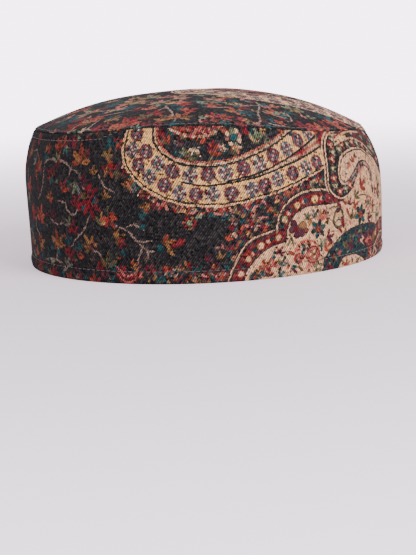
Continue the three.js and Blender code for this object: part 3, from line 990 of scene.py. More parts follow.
# Stems on the cream ground: colour, width, line
cream_stems = [
    ("olive", 0.9, [(40.5, 15), (41.6, 17.6), (42, 19)]),
    ("olive", 0.9, [(43.4, 15), (42.8, 17), (42.2, 19)]),
    ("soot", 0.6, [(35.5, 9.8), (38, 10.4), (42, 10.8), (45, 10)]),
    ("soot", 0.6, [(50, 26.8), (55, 27), (60, 27.6), (66, 27)]),
    ("soot", 0.6, [(57, 10.3), (60, 8.2), (62, 6.5), (64.5, 5.4)]),
    ("coral", 1.3, [(44.4, 11.6), (46, 14.6), (50.7, 16.6), (55.4, 15.4), (58, 12.6), (58.8, 9.6)]),
    ("coral", 0.6, [(51.5, 5.8), (54, 4.9), (58, 5), (60, 6.4)]),
    ("soot", 0.5, [(34, 3.2), (37, 3.4), (40, 2.2)]), ("olive", 0.7, [(66, 30), (69, 31), (73, 30.3)]),
    ("soot", 0.6, [(63.5, 25.8), (66, 25.6), (68, 24)]),
    ("brown", 0.6, [(90, 33.5), (95, 34), (101, 32.6), (106, 31)]),
    ("olive", 0.6, [(100, 24), (107, 23.4), (113, 22.4), (119, 22)]),
]
# The ring-shaped flower of the cream ground, and its leaves as shifts from its middle
ring_flower = (73, 24.6)
ring_flower_leaves = [
    (1.2, -0.6, 4, 285, "gold sage", 1), (3.2, -1.5, 7, 285, "crimson red", 1),
    (-0.4, 3.6, 4, 20, "plum", 1), (0.8, -5.6, 4.4, 315, "red", 1), (5, -6.6, 3, 30, "ochre", 1),
]
# The hook at the right: the dark ground behind it, its outer and inner pale lines, its flowered dark band,
# the stripes on it, and its cream body with a veiled edge
far_ground = [
    (82, 66), (90, 64.2), (100, 63.6), (110, 60.5), (119, 55), (125, 49), (130, 44.5), (134, 46),
    (139, 52), (140, 60), (132, 68), (120, 74), (108, 76), (84, 76),
]
hook_outer = [
    (80, 68), (73, 65.5), (70, 63), (67.8, 60), (66.9, 57), (66.3, 53), (65.7, 50), (65, 46), (64.8, 42),
    (66, 39),
]
hook_inner = [
    (92, 66.6), (84, 66.6), (76, 65.2), (72, 62.5), (70, 60), (69, 57), (68, 53), (67.3, 49.5),
    (66.8, 46), (66.5, 43), (67, 40.5), (68.5, 38.2), (71, 36), (74, 34.8), (77, 34.4), (80, 34.9),
    (83, 36.2), (86, 38), (88, 40.4),
]
hook_mouth = [
    (94, 57.6), (88, 57), (83, 55.8), (79, 54), (76.3, 51), (75, 48), (74.7, 45), (75.5, 42.5),
    (77.5, 41), (80, 40.5), (83, 41.5),
]
hook_band = hook_inner[2:] + [(87.6, 43.4)] + hook_mouth[::-1] + [
    (100, 57.4), (106, 56), (113, 52.5), (117, 54), (110, 58.5), (104, 61), (96, 62), (88, 62),
    (82, 61.6), (80, 62.6), (79, 65),
]
upper_stripe = [(80, 62.2), (84, 63.6), (90, 64.6), (100, 65.2), (112, 64)]
lower_stripe = [(79, 60.2), (84, 61.4), (90, 62), (98, 62), (106, 60.4), (113, 57.4), (119, 52.6)]
# Flowers on the dark band: across, up, colours
hook_flowers = [
    (75, 60.4, "coral red"), (78, 62.9, "sage olive"), (74.6, 57, "sage olive"), (72.4, 54, "coral red"),
    (71.6, 49.3, "sage olive"), (71, 44.6, "coral red"), (71.6, 40.8, "sage olive"),
    (75, 37.9, "coral red"), (79.6, 38.6, "sage grey"), (83.6, 40.2, "coral red"),
    (80.6, 57.9, "sage olive"), (84.4, 59.4, "coral red"), (90, 59.7, "sage olive"),
    (96.5, 60, "coral red"), (102.5, 59.2, "sage grey"), (108.5, 57.4, "coral red"),
    (114, 54, "sage olive"),
]
hook_body = hook_mouth + [
    (86, 43.5), (89, 45.8), (92, 47.7), (96, 49.3), (99.5, 49.6), (103, 48.8), (106, 46.4), (107.6, 43),
    (107, 39), (110, 36), (116, 42), (115, 49), (110, 54), (102, 57),
]
hook_line = [
    (116, 46.5), (112, 51.3), (106, 54.9), (100, 56.2), (94, 56.4), (88, 55.8), (83.4, 54.7),
    (79.8, 52.8), (77.5, 50.3), (76.3, 47.6), (76, 45.2), (76.8, 43.2), (78.4, 42.1), (80.4, 41.8),
    (83, 42.9), (86, 44.9), (89, 47.1), (92, 48.8), (96, 50.3), (99.6, 50.6), (103.6, 49.8), (107, 47),
    (108.8, 43), (108.4, 39),
]
hook_veil = hook_line[13:] + [
    (105.6, 40.6), (105.6, 44), (103.4, 46.8), (100, 47.6), (96, 47.2), (92, 45.2), (88, 42.4),
    (84, 40.2),
]
hook_shade = [
    (84, 41.6), (88, 44.2), (92, 46.6), (96, 48.2), (100, 48.3), (103.4, 46.8), (105.6, 44),
    (105.6, 40.6),
]
hook_leaves = [
    (84.4, 49.4, 5, 30, "coral ochre", 1), (89.6, 52.4, 5, 100, "rust crimson", 3),
    (93.6, 53.8, 3.6, 60, "plum", 3), (95, 46, 4.6, 20, "pink coral", 3),
]

# Leaves inside the boteh, in the wedge between the boteh and the border, and on the teal paisley
inside_leaves = [
    (-17, 68.5, 5, 120, "orange olive rust", 3), (-10.5, 67, 5, 70, "plum grey crimson", 3),
    (-8, 63, 4.6, 110, "olive sage", 3), (-1.8, 63, 5.4, 300, "teal deep cream", 3),
    (-4, 62.6, 4, 250, "cream sage", 3), (1.2, 67, 4, 30, "orange rust", 1),
    (5.4, 64.6, 5.4, 60, "crimson plum red", 3), (11, 64, 4.4, 60, "cream pink", 3),
    (18, 63, 5, 280, "coral cream ochre", 3), (28, 67, 5.4, 60, "olive gold sage", 3),
    (34, 70, 4.6, 30, "ochre gold", 3), (36.8, 67.2, 4.6, 60, "plum teal", 3),
    (44, 70.5, 4, 30, "orange rust", 3), (-19, 72, 4, 60, "red rust", 3),
    (24, 70.5, 4, 60, "red crimson", 3), (39, 72, 3.6, 30, "cream sage", 3),
    (31, 72.5, 3.6, 60, "red crimson", 3), (-14, 72, 3.4, 60, "teal", 3),
]
wedge_leaves = [
    (45, 43.6, 4.4, 30, "orange rust", 3), (50, 43.4, 4, 60, "plum teal", 3),
    (54, 46, 4, 80, "red crimson", 3), (56, 43, 4, 30, "olive sage", 3),
    (60.5, 47, 4.4, 60, "crimson red", 3), (62.4, 43.8, 4.4, 300, "ochre teal", 3),
    (58.5, 45, 3.4, 100, "coral cream", 3), (41, 40, 3.6, 20, "rust orange", 3),
]
teal_leaves = [
    (66, 2.2, 5, 60, "crimson plum", 5), (69.5, 5.6, 4, 30, "brown rust", 3),
    (73.2, 8, 4.6, 20, "coral plum", 3), (78.2, 11, 4.4, 60, "brown olive", 3),
    (83, 14, 4.2, 20, "olive brown", 3), (83, 9.8, 5, 340, "plum crimson", 3),
    (88.4, 16.2, 3.6, 20, "crimson plum", 3), (94, 15.8, 4, 350, "olive brown", 3),
    (103, 14, 5, 345, "plum deep", 3), (78, 2, 5, 80, "orange red rust", 3),
    (75, 2, 3.4, 100, "olive", 1), (88.6, 1.6, 4.4, 40, "olive teal", 3), (83, 1.6, 3.4, 80, "plum", 1),
    (65, 7.4, 3, 60, "sage", 1), (92, 12.6, 4.4, 350, "plum deep crimson", 5),
]


def band(chart):
    """The pattern of the band: leaves on black, with the paisley, the boteh and the hook over them."""
    for line in stems:
        chart.stroke(line, 0.8, "stem")
    leafage(chart, leaves, scale=0.88)
    sprinkle(chart, left_shoulder, 11, 6, 60, 80, leaf_colours, 5)
    # The blossom below the boteh, and the arch of close lines at the rim
    chart.shape((-7.5, 29), 6, disc(3.4), "soot", "soot")
    blossom(chart, -7.5, 29.2, 8, 7, "sage red ochre red coral")
    for row, colour in enumerate(("pink", "red", "soot", "coral", "crimson")):
        arch = [(-45, 7.5 - row), (-41, 4 - row), (-36, 5 - row), (-33.4, 8.4 - 0.4 * row)]
        chart.stroke(arch, 0.9, colour)
    # The streaks between the large figures, and the buds, which have pink tips in the boteh's fringe
    for outline, step, size, heading, colours in streaked_ground:
        sprinkle(chart, outline, step, size, heading, 25, colours)
    for u, v, size, colour in buds:
        tips = " soot pink" if -30 < u < 60 and v < 42 else " soot olive"
        leaf(chart, u, v, size * 1.25, (u * 37 + v * 53) % 360, colour + tips, 3)
    paisley(chart)
    boteh(chart, "sand")
    hook(chart)


def boteh(chart, ground):
    """The large pale boteh, whole: the band shows its lower part, and the crown its upper one."""
    chart.region(boteh_outer + [(80, 57), (94, 64), (106, 70)] + crest_outer[::-1], ground)
    boteh_inside = boteh_inner + crest_inner[::-1]
    chart.region(boteh_inside, "black")
    for line in (crest_outer, crest_inner):
        chart.stroke(line, 1.0, "black")
    chart.stroke(moved(crest_outer, 0, 1.3), 0.9, "cream")
    chart.stroke(moved(crest_inner, 0, -1.3), 0.9, "cream")
    sprinkle(chart, boteh_inside, 7.0, 6.0, 60, 80, leaf_colours, 3)
    # The lines along its edges
    chart.stroke(boteh_outer, 0.6, "cream")
    chart.stroke(moved(boteh_outer[:6], 1.3, 0.2) + moved(boteh_outer[6:], 0.35, 1.15), 0.9, "black")
    for gap, width, colour in ((1.1, 0.6, "cream"), (2.1, 0.7, "coral")):
        line = moved(boteh_inner[:4], gap, 0.4 * gap) + moved(boteh_inner[4:], 0, gap)
        chart.stroke(line, width, colour)
    chart.stroke(boteh_inner, 1.0, "black")
    # The rosettes, and the lines between their two rows
    chart.drawn_edge = FINE_EDGE
    for u, v, kind in rosettes:
        rosette(chart, u, v, kind)
    for n, (u, v) in enumerate(crest_rosettes):
        rosette(chart, u, v, ("white", "red")[n % 2])
    chart.region(middle_high[2:] + middle_low[:3:-1], "soot")
    chart.stroke(moved(middle_low[3:], 0, 1.3), 0.8, "cream")
    chart.stroke(moved(middle_high[2:], 0, -1.2), 0.7, "cream")
    chart.stroke(moved(middle_low[6:], 0, 2.6), 1.0, "red")
    chart.stroke(moved(middle_high[4:], 0, -2.5), 0.8, "coral")
    for line in (middle_low, middle_high):
        chart.stroke(line, 0.9, "black")
    # What grows inside it: leaves, a blossom and an arc of close lines
    chart.drawn_edge = FREE_EDGE
    leafage(chart, inside_leaves)
    blossom(chart, 17.3, 68.2, 10.4, 8, "teal pink cream sage cream")
    arc = [(-14, 72.2), (-8, 69.6), (-2, 68.8), (4, 69.2), (9, 71), (13, 73.5)]
    for rise, colour in ((0.6, "cream"), (2.0, "red"), (3.3, "coral"), (4.6, "crimson"), (5.8, "orange")):
        chart.stroke(moved(arc, 0, rise), 0.9, colour)
    over_arc = [(-16, 72), (-8, 69), (4, 68.4), (15, 74), (14, 79), (-15, 78)]
    sprinkle(chart, over_arc, 1.9, 2.2, 50, 20, "red/soot/pink/coral/black")


def paisley(chart):
    """The large cream paisley in its red beaded border, with its flowers and the teal paisley."""
    # The grounds and the border on both sides
    chart.drawn_edge = FINE_EDGE
    chart.region(cream_ground, "cream")
    chart.region(border, "crimson")
    far_fringe_colours = "pink/coral/cream/crimson/pink/soot/teal/red/stem/rust/pink"
    sprinkle(chart, far_fringe, 2.0, 3.6, 60, 40, far_fringe_colours)
    chart.region(far_edge + far_outside[::-1], "crimson")
    sprinkle(chart, border, 1.5, 2.2, 40, 30, "red/red/soot/rust/red/plum")
    far_border_colours = "red/stem/rust/pink/crimson/stem/soot/ochre"
    sprinkle(chart, far_edge + far_outside[::-1], 1.6, 2.6, 40, 30, far_border_colours)
    for line in border_lines + [moved(far_outside[9:], 1.1, -0.9), far_outside[:9]]:
        chart.stroke(line, 2.0, "soot")
        chart.stroke(line, 0.65, "cream")
    for line in border_edges + [far_edge, far_outside]:
        chart.stroke(line, 0.8, "soot")
    for u, v, size, colours in beads:
        bead, rim = colours.split()
        chart.shape((u, v), size, disc(size / 2 - 0.3), bead, rim, 0.5)
    # What grows on the cream ground: stems, leaves, flowers, and the ring-shaped flower with its leaves
    for colour, width, line in cream_stems:
        chart.stroke(line, width, colour)
    leafage(chart, cream_leaves, scale=1.24)
    for u, v, size, petals, colours in cream_stars:
        star(chart, u, v, size, petals, colours)
    for u, v, size, colours in cream_rings:
        ringed(chart, u, v, size, colours)
    for u, v, radius, colour in block_flower:
        chart.shape((u, v), 4, disc(radius), colour, "soot", 0.4)
    blossom(chart, 101, 29.4, 9.6, 7, "grey rust coral olive rust")
    chart.shape(ring_flower, 9, disc(3.9, squash=1.3), "olive", "soot", 0.4)
    chart.shape(ring_flower, 9, disc(2.9, squash=1.3), "cream")
    chart.stroke(moved([(-2.2, 0.6), (-1.2, 2), (0.6, 2.2), (1.8, 1)], *ring_flower), 0.8, "gold")
    leafage(chart, [(ring_flower[0] + u, ring_flower[1] + v, *rest) for u, v, *rest in ring_flower_leaves])
    chart.stroke(moved([(-2, -1.5), (-0.6, -0.2), (1.4, -0.8)], *ring_flower), 0.7, "teal")
    # The teal paisley
    chart.region(teal_paisley, "deep", "soot", 0.7)
    sprinkle(chart, teal_paisley, 2.0, 2.3, 25, 30, "teal/soot/deep/olive/teal/plum/deep/sage/crimson/teal")
    leafage(chart, teal_strokes)
    chart.region(teal_heart, "cream", "soot", 0.7)
    leafage(chart, teal_leaves)
    chart.drawn_edge = FREE_EDGE
    leafage(chart, wedge_leaves)


def hook(chart):
    """The hook at the right: streaks behind it, its flowered dark band and its cream body."""
    chart.drawn_edge = FINE_EDGE
    chart.region([(66.5, 76), (66.5, 57), (69, 60), (72, 63), (78, 65.6), (84, 67), (90, 76)], "plum")
    streaks = "red cream soot rust red soot orange coral soot red teal".split()
    for row, colour in enumerate(streaks):
        streak = [(67, 57.5), (72, 60.1), (78, 62.5), (86, 64.9), (94, 66.1)]
        chart.stroke(moved(streak, 0, 1.5 * row), 1.0, colour)
    chart.region(far_ground, "deep")
    sprinkle(chart, far_ground, 2.4, 5.5, 352, 12, "teal/crimson/soot/cream/rust/soot/plum/sage/red/soot")
    # The hook's own grounds, lines and flowers
    chart.region(hook_band, "black")
    chart.region(hook_body, "cream")
    chart.region(hook_veil, "stem")
    sprinkle(chart, hook_veil, 1.7, 2.2, 40, 40, "soot/grey/pink/stem/soot/plum/cream")
    chart.stroke(hook_line, 0.7, "soot")
    chart.stroke(hook_shade, 0.8, "soot")
    chart.stroke(moved(hook_inner[3:13], -1.1, 0), 0.9, "black")
    chart.stroke(hook_outer, 0.8, "cream")
    chart.stroke(hook_inner, 0.8, "cream")
    chart.stroke(upper_stripe, 0.9, "cream")
    chart.stroke(lower_stripe, 0.9, "cream")
    for u, v, colours in hook_flowers:
        blossom(chart, u, v, 5.2, 5, "cream " + colours)
    chart.stroke([(80.6, 45.4), (80.9, 48.6), (83, 50.8), (87, 51)], 0.6, "grey")
    leafage(chart, hook_leaves)


# The pattern comes twice round the band, and meets itself at the join
BAND_REPEAT = HALF_ROUND
band_faces, band_corners = flat_faces(band_mesh, 0)
band_chart = Chart(band_corners, [(-BAND_REPEAT, 0), (0, 0), (BAND_REPEAT, 0)], "black")
band(band_chart)
band_chart.weave_into(band_mesh, band_faces)


def add_node(tree, kind, inputs=(), **settings):
    """A node with its settings, and its inputs by place: a socket is linked, and a value is set."""
    made = tree.nodes.new("ShaderNode" + kind)
    for name, value in settings.items():
        setattr(made, name, value)
    for place, value in enumerate(inputs):
        if isinstance(value, bpy.types.NodeSocket):
            tree.links.new(value, made.inputs[place])
        elif value is not None:
            made.inputs[place].default_value = value
    return made


def maths(tree, operation, *values):
    """The output of a Math node."""
    return add_node(tree, "Math", values, operation=operation).outputs[0]


def blend(tree, share, first, second, kind="MIX"):
    """The output of a Mix node for colours, whose sockets are 0, 6 and 7."""
    made = add_node(tree, "Mix", data_type="RGBA", blend_type=kind)
    for place, value in ((0, share), (6, first), (7, second)):
        if isinstance(value, bpy.types.NodeSocket):
            tree.links.new(value, made.inputs[place])
        else:
            made.inputs[place].default_value = value
    return made.outputs[2]


# Twill: slanting ribs of short threads, in millimetres, leaning like a slash across the cloth
RIB_PITCH = 1.0
FLOAT_LENGTH = 0.95
RIB_ACROSS, RIB_UP = 0.82, 0.57
# How one short thread differs from the next: the shift from rib to rib, the share from which threads are
# flecked and how much, the share below which they lie sunk, painted darker as painted shade, and how dark,
# and the range of their shade, which differs at random
RIB_SHIFT = 0.38
FLECKED_ABOVE, FLECK_STRENGTH = 0.7, 0.22
SUNK_BELOW, SUNK_PAINTED_SHADE = 0.16, 0.7
LEAST_SHADE, SHADE_RANGE = 0.75, 0.7
# The painted shade in the valleys between the ribs, how narrow and how dark; how unevenly threads rise,
# as a share of a rib; how deep the ribs are, in millimetres; and the colours of flecks and of the backing
VALLEY_SHAPE, VALLEY_PAINTED_SHADE = 1.5, 0.72
THREAD_RISE = 0.35
RIB_DEPTH = 0.12
FLECK_COLOUR = (0.13, 0.10, 0.09, 1)
BACKING_COLOUR = (0.05, 0.035, 0.035, 1)


def empty_material(name):
    """A new material, and its node tree with nothing in it."""
    material = bpy.data.materials.new(name)
    material.use_nodes = True
    material.node_tree.nodes.clear()
    return material, material.node_tree


def shaded(tree, colour, settings):
    """The shader of a material, in a colour and with its settings by name, joined to its output."""
    shader = add_node(tree, "BsdfPrincipled")
    for name, value in settings.items():
        shader.inputs[name].default_value = value
    tree.links.new(colour, shader.inputs["Base Color"])
    add_node(tree, "OutputMaterial", (shader.outputs[0],))
    return shader


# How rough the cloth is, and how little it shines
CLOTH_FINISH = {
    "Roughness": 0.85, "Specular IOR Level": 0.15, "Sheen Weight": 0.03, "Sheen Roughness": 0.45,
}
BUMP_STRENGTH = 0.6


def cloth_material(name, patterned):
    """Twill cloth: bright weft threads in slanting ribs, with painted shade in the valleys between them and
    on the threads that lie sunk.
    """
    material, tree = empty_material(name)
    chart = add_node(tree, "UVMap", uv_map="cloth")
    place = add_node(tree, "SeparateXYZ", (chart.outputs[0],))
    u, v = place.outputs[0], place.outputs[1]
    rib = maths(tree, "SUBTRACT", maths(tree, "MULTIPLY", u, RIB_ACROSS / RIB_PITCH),
                maths(tree, "MULTIPLY", v, RIB_UP / RIB_PITCH))
    along = maths(tree, "ADD", maths(tree, "MULTIPLY", u, RIB_UP / FLOAT_LENGTH),
                  maths(tree, "MULTIPLY", v, RIB_ACROSS / FLOAT_LENGTH))
    rib_number = maths(tree, "FLOOR", rib)
    thread_number = maths(tree, "FLOOR", maths(tree, "MULTIPLY_ADD", rib_number, RIB_SHIFT, along))
    cell = add_node(tree, "CombineXYZ", (rib_number, thread_number, 0.0))
    noise = add_node(tree, "TexWhiteNoise", (cell.outputs[0],), noise_dimensions="3D")
    chances = add_node(tree, "SeparateColor", (noise.outputs[1],)).outputs
    wave = maths(tree, "SINE", maths(tree, "MULTIPLY", rib, 2 * math.pi))
    crest = maths(tree, "MULTIPLY_ADD", wave, 0.5, 0.5)
    if patterned:
        low, middle, high, field, edges = (
            add_node(tree, "Attribute", attribute_name="thread_" + part, attribute_type="GEOMETRY").outputs
            for part in ("low", "middle", "high", "field", "edges"))
        edge = add_node(tree, "SeparateXYZ", (edges[1],))
        jag = maths(tree, "MULTIPLY", maths(tree, "SUBTRACT", chances[0], 0.5), edge.outputs[2])
        ragged = maths(tree, "ADD", field[2], jag)
        past_first = maths(tree, "GREATER_THAN", ragged, edge.outputs[0])
        past_second = maths(tree, "GREATER_THAN", ragged, edge.outputs[1])
        colour = blend(tree, past_second, blend(tree, past_first, low[0], middle[0]), high[0])
    else:
        colour = BACKING_COLOUR
    fleck = maths(tree, "MULTIPLY", maths(tree, "GREATER_THAN", chances[2], FLECKED_ABOVE), FLECK_STRENGTH)
    colour = blend(tree, fleck, colour, FLECK_COLOUR)
    # Painted shade: threads that lie sunk are painted darker
    sunk = maths(tree, "MULTIPLY", maths(tree, "LESS_THAN", chances[2], SUNK_BELOW), SUNK_PAINTED_SHADE)
    shade = maths(tree, "SUBTRACT", maths(tree, "MULTIPLY_ADD", chances[1], SHADE_RANGE, LEAST_SHADE), sunk)
    # Painted shade: the colour is darkened in the valleys between the ribs
    painted_valley_shade = maths(tree, "POWER", maths(tree, "SUBTRACT", 1.0, crest), VALLEY_SHAPE)
    shade = maths(tree, "MULTIPLY", shade, maths(tree, "MULTIPLY_ADD", painted_valley_shade, -VALLEY_PAINTED_SHADE, 1.0))
    grey = add_node(tree, "CombineXYZ", (shade, shade, shade))
    colour = blend(tree, 1.0, colour, grey.outputs[0], "MULTIPLY")
    height = maths(tree, "MULTIPLY_ADD", chances[1], THREAD_RISE, crest)
    bump = add_node(tree, "Bump")
    bump.inputs["Strength"].default_value = BUMP_STRENGTH
    bump.inputs["Distance"].default_value = RIB_DEPTH * MM
    tree.links.new(height, bump.inputs["Height"])
    shader = shaded(tree, colour, CLOTH_FINISH)
    tree.links.new(bump.outputs[0], shader.inputs["Normal"])
    return material


face_cloth = cloth_material("kani_face_cloth", True)
backing_cloth = cloth_material("plain_backing_cloth", False)
side_band.data.materials.append(face_cloth)
side_band.data.materials.append(backing_cloth)
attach(side_band, "root")
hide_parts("side_band")


# The crown top. The real one is a round of the same cloth, cut where the leaves grow thickest, eased
# a little round its edge, turned under, and sewn to the band along the rounded shoulder.
CROWN_CELLS = 276
SEAM_GAP = 0.3
EDGE_REACH = BAND_LEVELS[-1, 1:3].mean()
CROWN_LINE = 1.6

# Relief of the crown, in millimetres: the small puckers where its edge is eased in and how unevenly they
# come round it, the slack further in, its rolled edge, and how deep its stitches pull it in
PUCKERS = 47
PUCKER_DEPTH, PUCKER_REACH = 0.16, 5.0
PUCKER_DRIFT, DRIFTS_ROUND = 1.3, 5
CROWN_SLACK, SLACK_FROM_EDGE = 0.35, 12.0
CROWN_ROLL_DEPTH = 0.7
CROWN_PULL, CROWN_PULL_WIDTH = 0.2, 0.7


def crown_place(x, y):
    """The share of the way to the seam, and the turn, of a place in plan."""
    across = (x - BAND_LEVELS[-1, 3]) / BAND_LEVELS[-1, 1]
    deep = y / BAND_LEVELS[-1, 2]
    return np.hypot(across, deep), np.arctan2(deep, across)


def crown_relief(share, turn):
    """How far the sewn cloth of the crown stands out of its plain shape."""
    edge = (1 - share) * EDGE_REACH
    uneven = turn * PUCKERS + PUCKER_DRIFT * np.sin(turn * DRIFTS_ROUND)
    easing = PUCKER_DEPTH * np.sin(uneven) * np.exp(-edge / PUCKER_REACH)
    # A slow wave that comes nowhere the same again
    slack = CROWN_SLACK * np.sin(share * 7 + np.cos(turn) * 3) * np.cos(turn * 2 + 1)
    slack *= np.clip(edge / SLACK_FROM_EDGE, 0, 1)
    stitched = -CROWN_PULL * bump_at(edge - CROWN_LINE, CROWN_PULL_WIDTH)
    return easing + slack + rolled(edge, CROWN_ROLL_DEPTH) + stitched


def crown_point(share, turn, depth):
    """Points in the crown's cloth, in millimetres, at a depth from its outer face."""
    point = top_face(share, turn) + inwards(top_face, share, turn, -1) * depth[..., None]
    return point + np.array((0, 0, SEAM_GAP * math.sqrt(2)))


def grow_edge(bm, edges):
    """A new ring of faces on an open edge: all that is new, its outer vertices and its outer edges."""
    grown = bmesh.ops.extrude_edge_only(bm, edges=edges)["geom"]
    vertices = [item for item in grown if isinstance(item, bmesh.types.BMVert)]
    outer = [item for item in grown if isinstance(item, bmesh.types.BMEdge) and item.is_boundary]
    return grown, vertices, outer


# The outer face: a square of cells drawn out to a round
crown_mesh, x, y = flat_grid("crown_top_cloth", CROWN_CELLS, CROWN_CELLS)
x, y = 2 * x - 1, 2 * y - 1
disc_x, disc_y = x * np.sqrt(1 - y * y / 2), y * np.sqrt(1 - x * x / 2)
share, turn = np.minimum(np.hypot(disc_x, disc_y), 1), np.arctan2(disc_y, disc_x)
place_vertices(crown_mesh, crown_point(share, turn, np.zeros_like(share)))
face_vertices = len(crown_mesh.vertices)

# From its edge the shell grows on: rings down the mitre, then rings back along the backing to the middle
bm = bmesh.new()
bm.from_mesh(crown_mesh)
edge_ring = [edge for edge in bm.edges if edge.is_boundary]
turned_edge = [(1, along) for along in mitre_shares]
inner_rings = [(share, None) for share in (0.985, 0.9, 0.75, 0.55, 0.35, 0.15, 0.03)]
for ring_share, along in turned_edge + inner_rings:
    grown, ring, edge_ring = grow_edge(bm, edge_ring)
    around = np.array([vertex.co for vertex in ring])
    turns = crown_place(around[:, 0], around[:, 1])[1]
    shares = np.full_like(turns, ring_share)
    if along is None:
        laid = crown_point(shares, turns, np.full_like(turns, CLOTH))
    else:
        laid = crown_point(shares, turns, np.zeros_like(turns)) + mitre(turns) * along
    for vertex, place in zip(ring, laid):
        vertex.co = place
    for item in grown:
        if isinstance(item, bmesh.types.BMFace):
            item.material_index = int(along is None)
bmesh.ops.contextual_create(bm, geom=edge_ring)
smooth_mesh(bm, crown_mesh)

places = values_of(crown_mesh.vertices, "co", 3).reshape(-1, 3)
lay_cloth_map(crown_mesh, places[:, :2])
share, turn = crown_place(places[:, 0], places[:, 1])
share = np.minimum(share, 1)

# The crown's own bake map: the outer face as a wide disc, its turned edge round it, and the backing as
# a small disc in the free corner
FACE_DISC, FACE_MIDDLE = 0.4, 0.422
BACKING_DISC, BACKING_MIDDLE = 0.15, 0.84
EDGE_START, EDGE_STEP = 1.015, 0.015
ring = (np.arange(len(places)) - face_vertices) // (4 * CROWN_CELLS)
outer_reach = np.where(ring < 0, share, EDGE_START + EDGE_STEP * ring) * FACE_DISC
ring_reaches = np.array([share for share, along in turned_edge + inner_rings])
backing_reach = ring_reaches[np.maximum(ring, 0)] * BACKING_DISC
heading = np.stack((np.cos(turn), np.sin(turn)), axis=-1)
outer_map = (heading * outer_reach[:, None] + FACE_MIDDLE)[corner_vertices(crown_mesh)]
backing_map = (heading * backing_reach[:, None] + BACKING_MIDDLE)[corner_vertices(crown_mesh)]
is_backing = values_of(crown_mesh.polygons, "material_index", kind=np.int32)
corner_counts = values_of(crown_mesh.polygons, "loop_total", kind=np.int32)
corner_backing = np.repeat(is_backing, corner_counts).astype(bool)
lay_map(crown_mesh, "OFBake", np.where(corner_backing[:, None], backing_map, outer_map))

# Last, the outer face takes its relief
rise = np.where(np.arange(len(places)) < face_vertices, crown_relief(share, turn), 0)
places -= inwards(top_face, share, turn, -1) * rise[:, None]
place_vertices(crown_mesh, places * MM)
crown_top = piece_of("crown_top_cloth", crown_mesh)
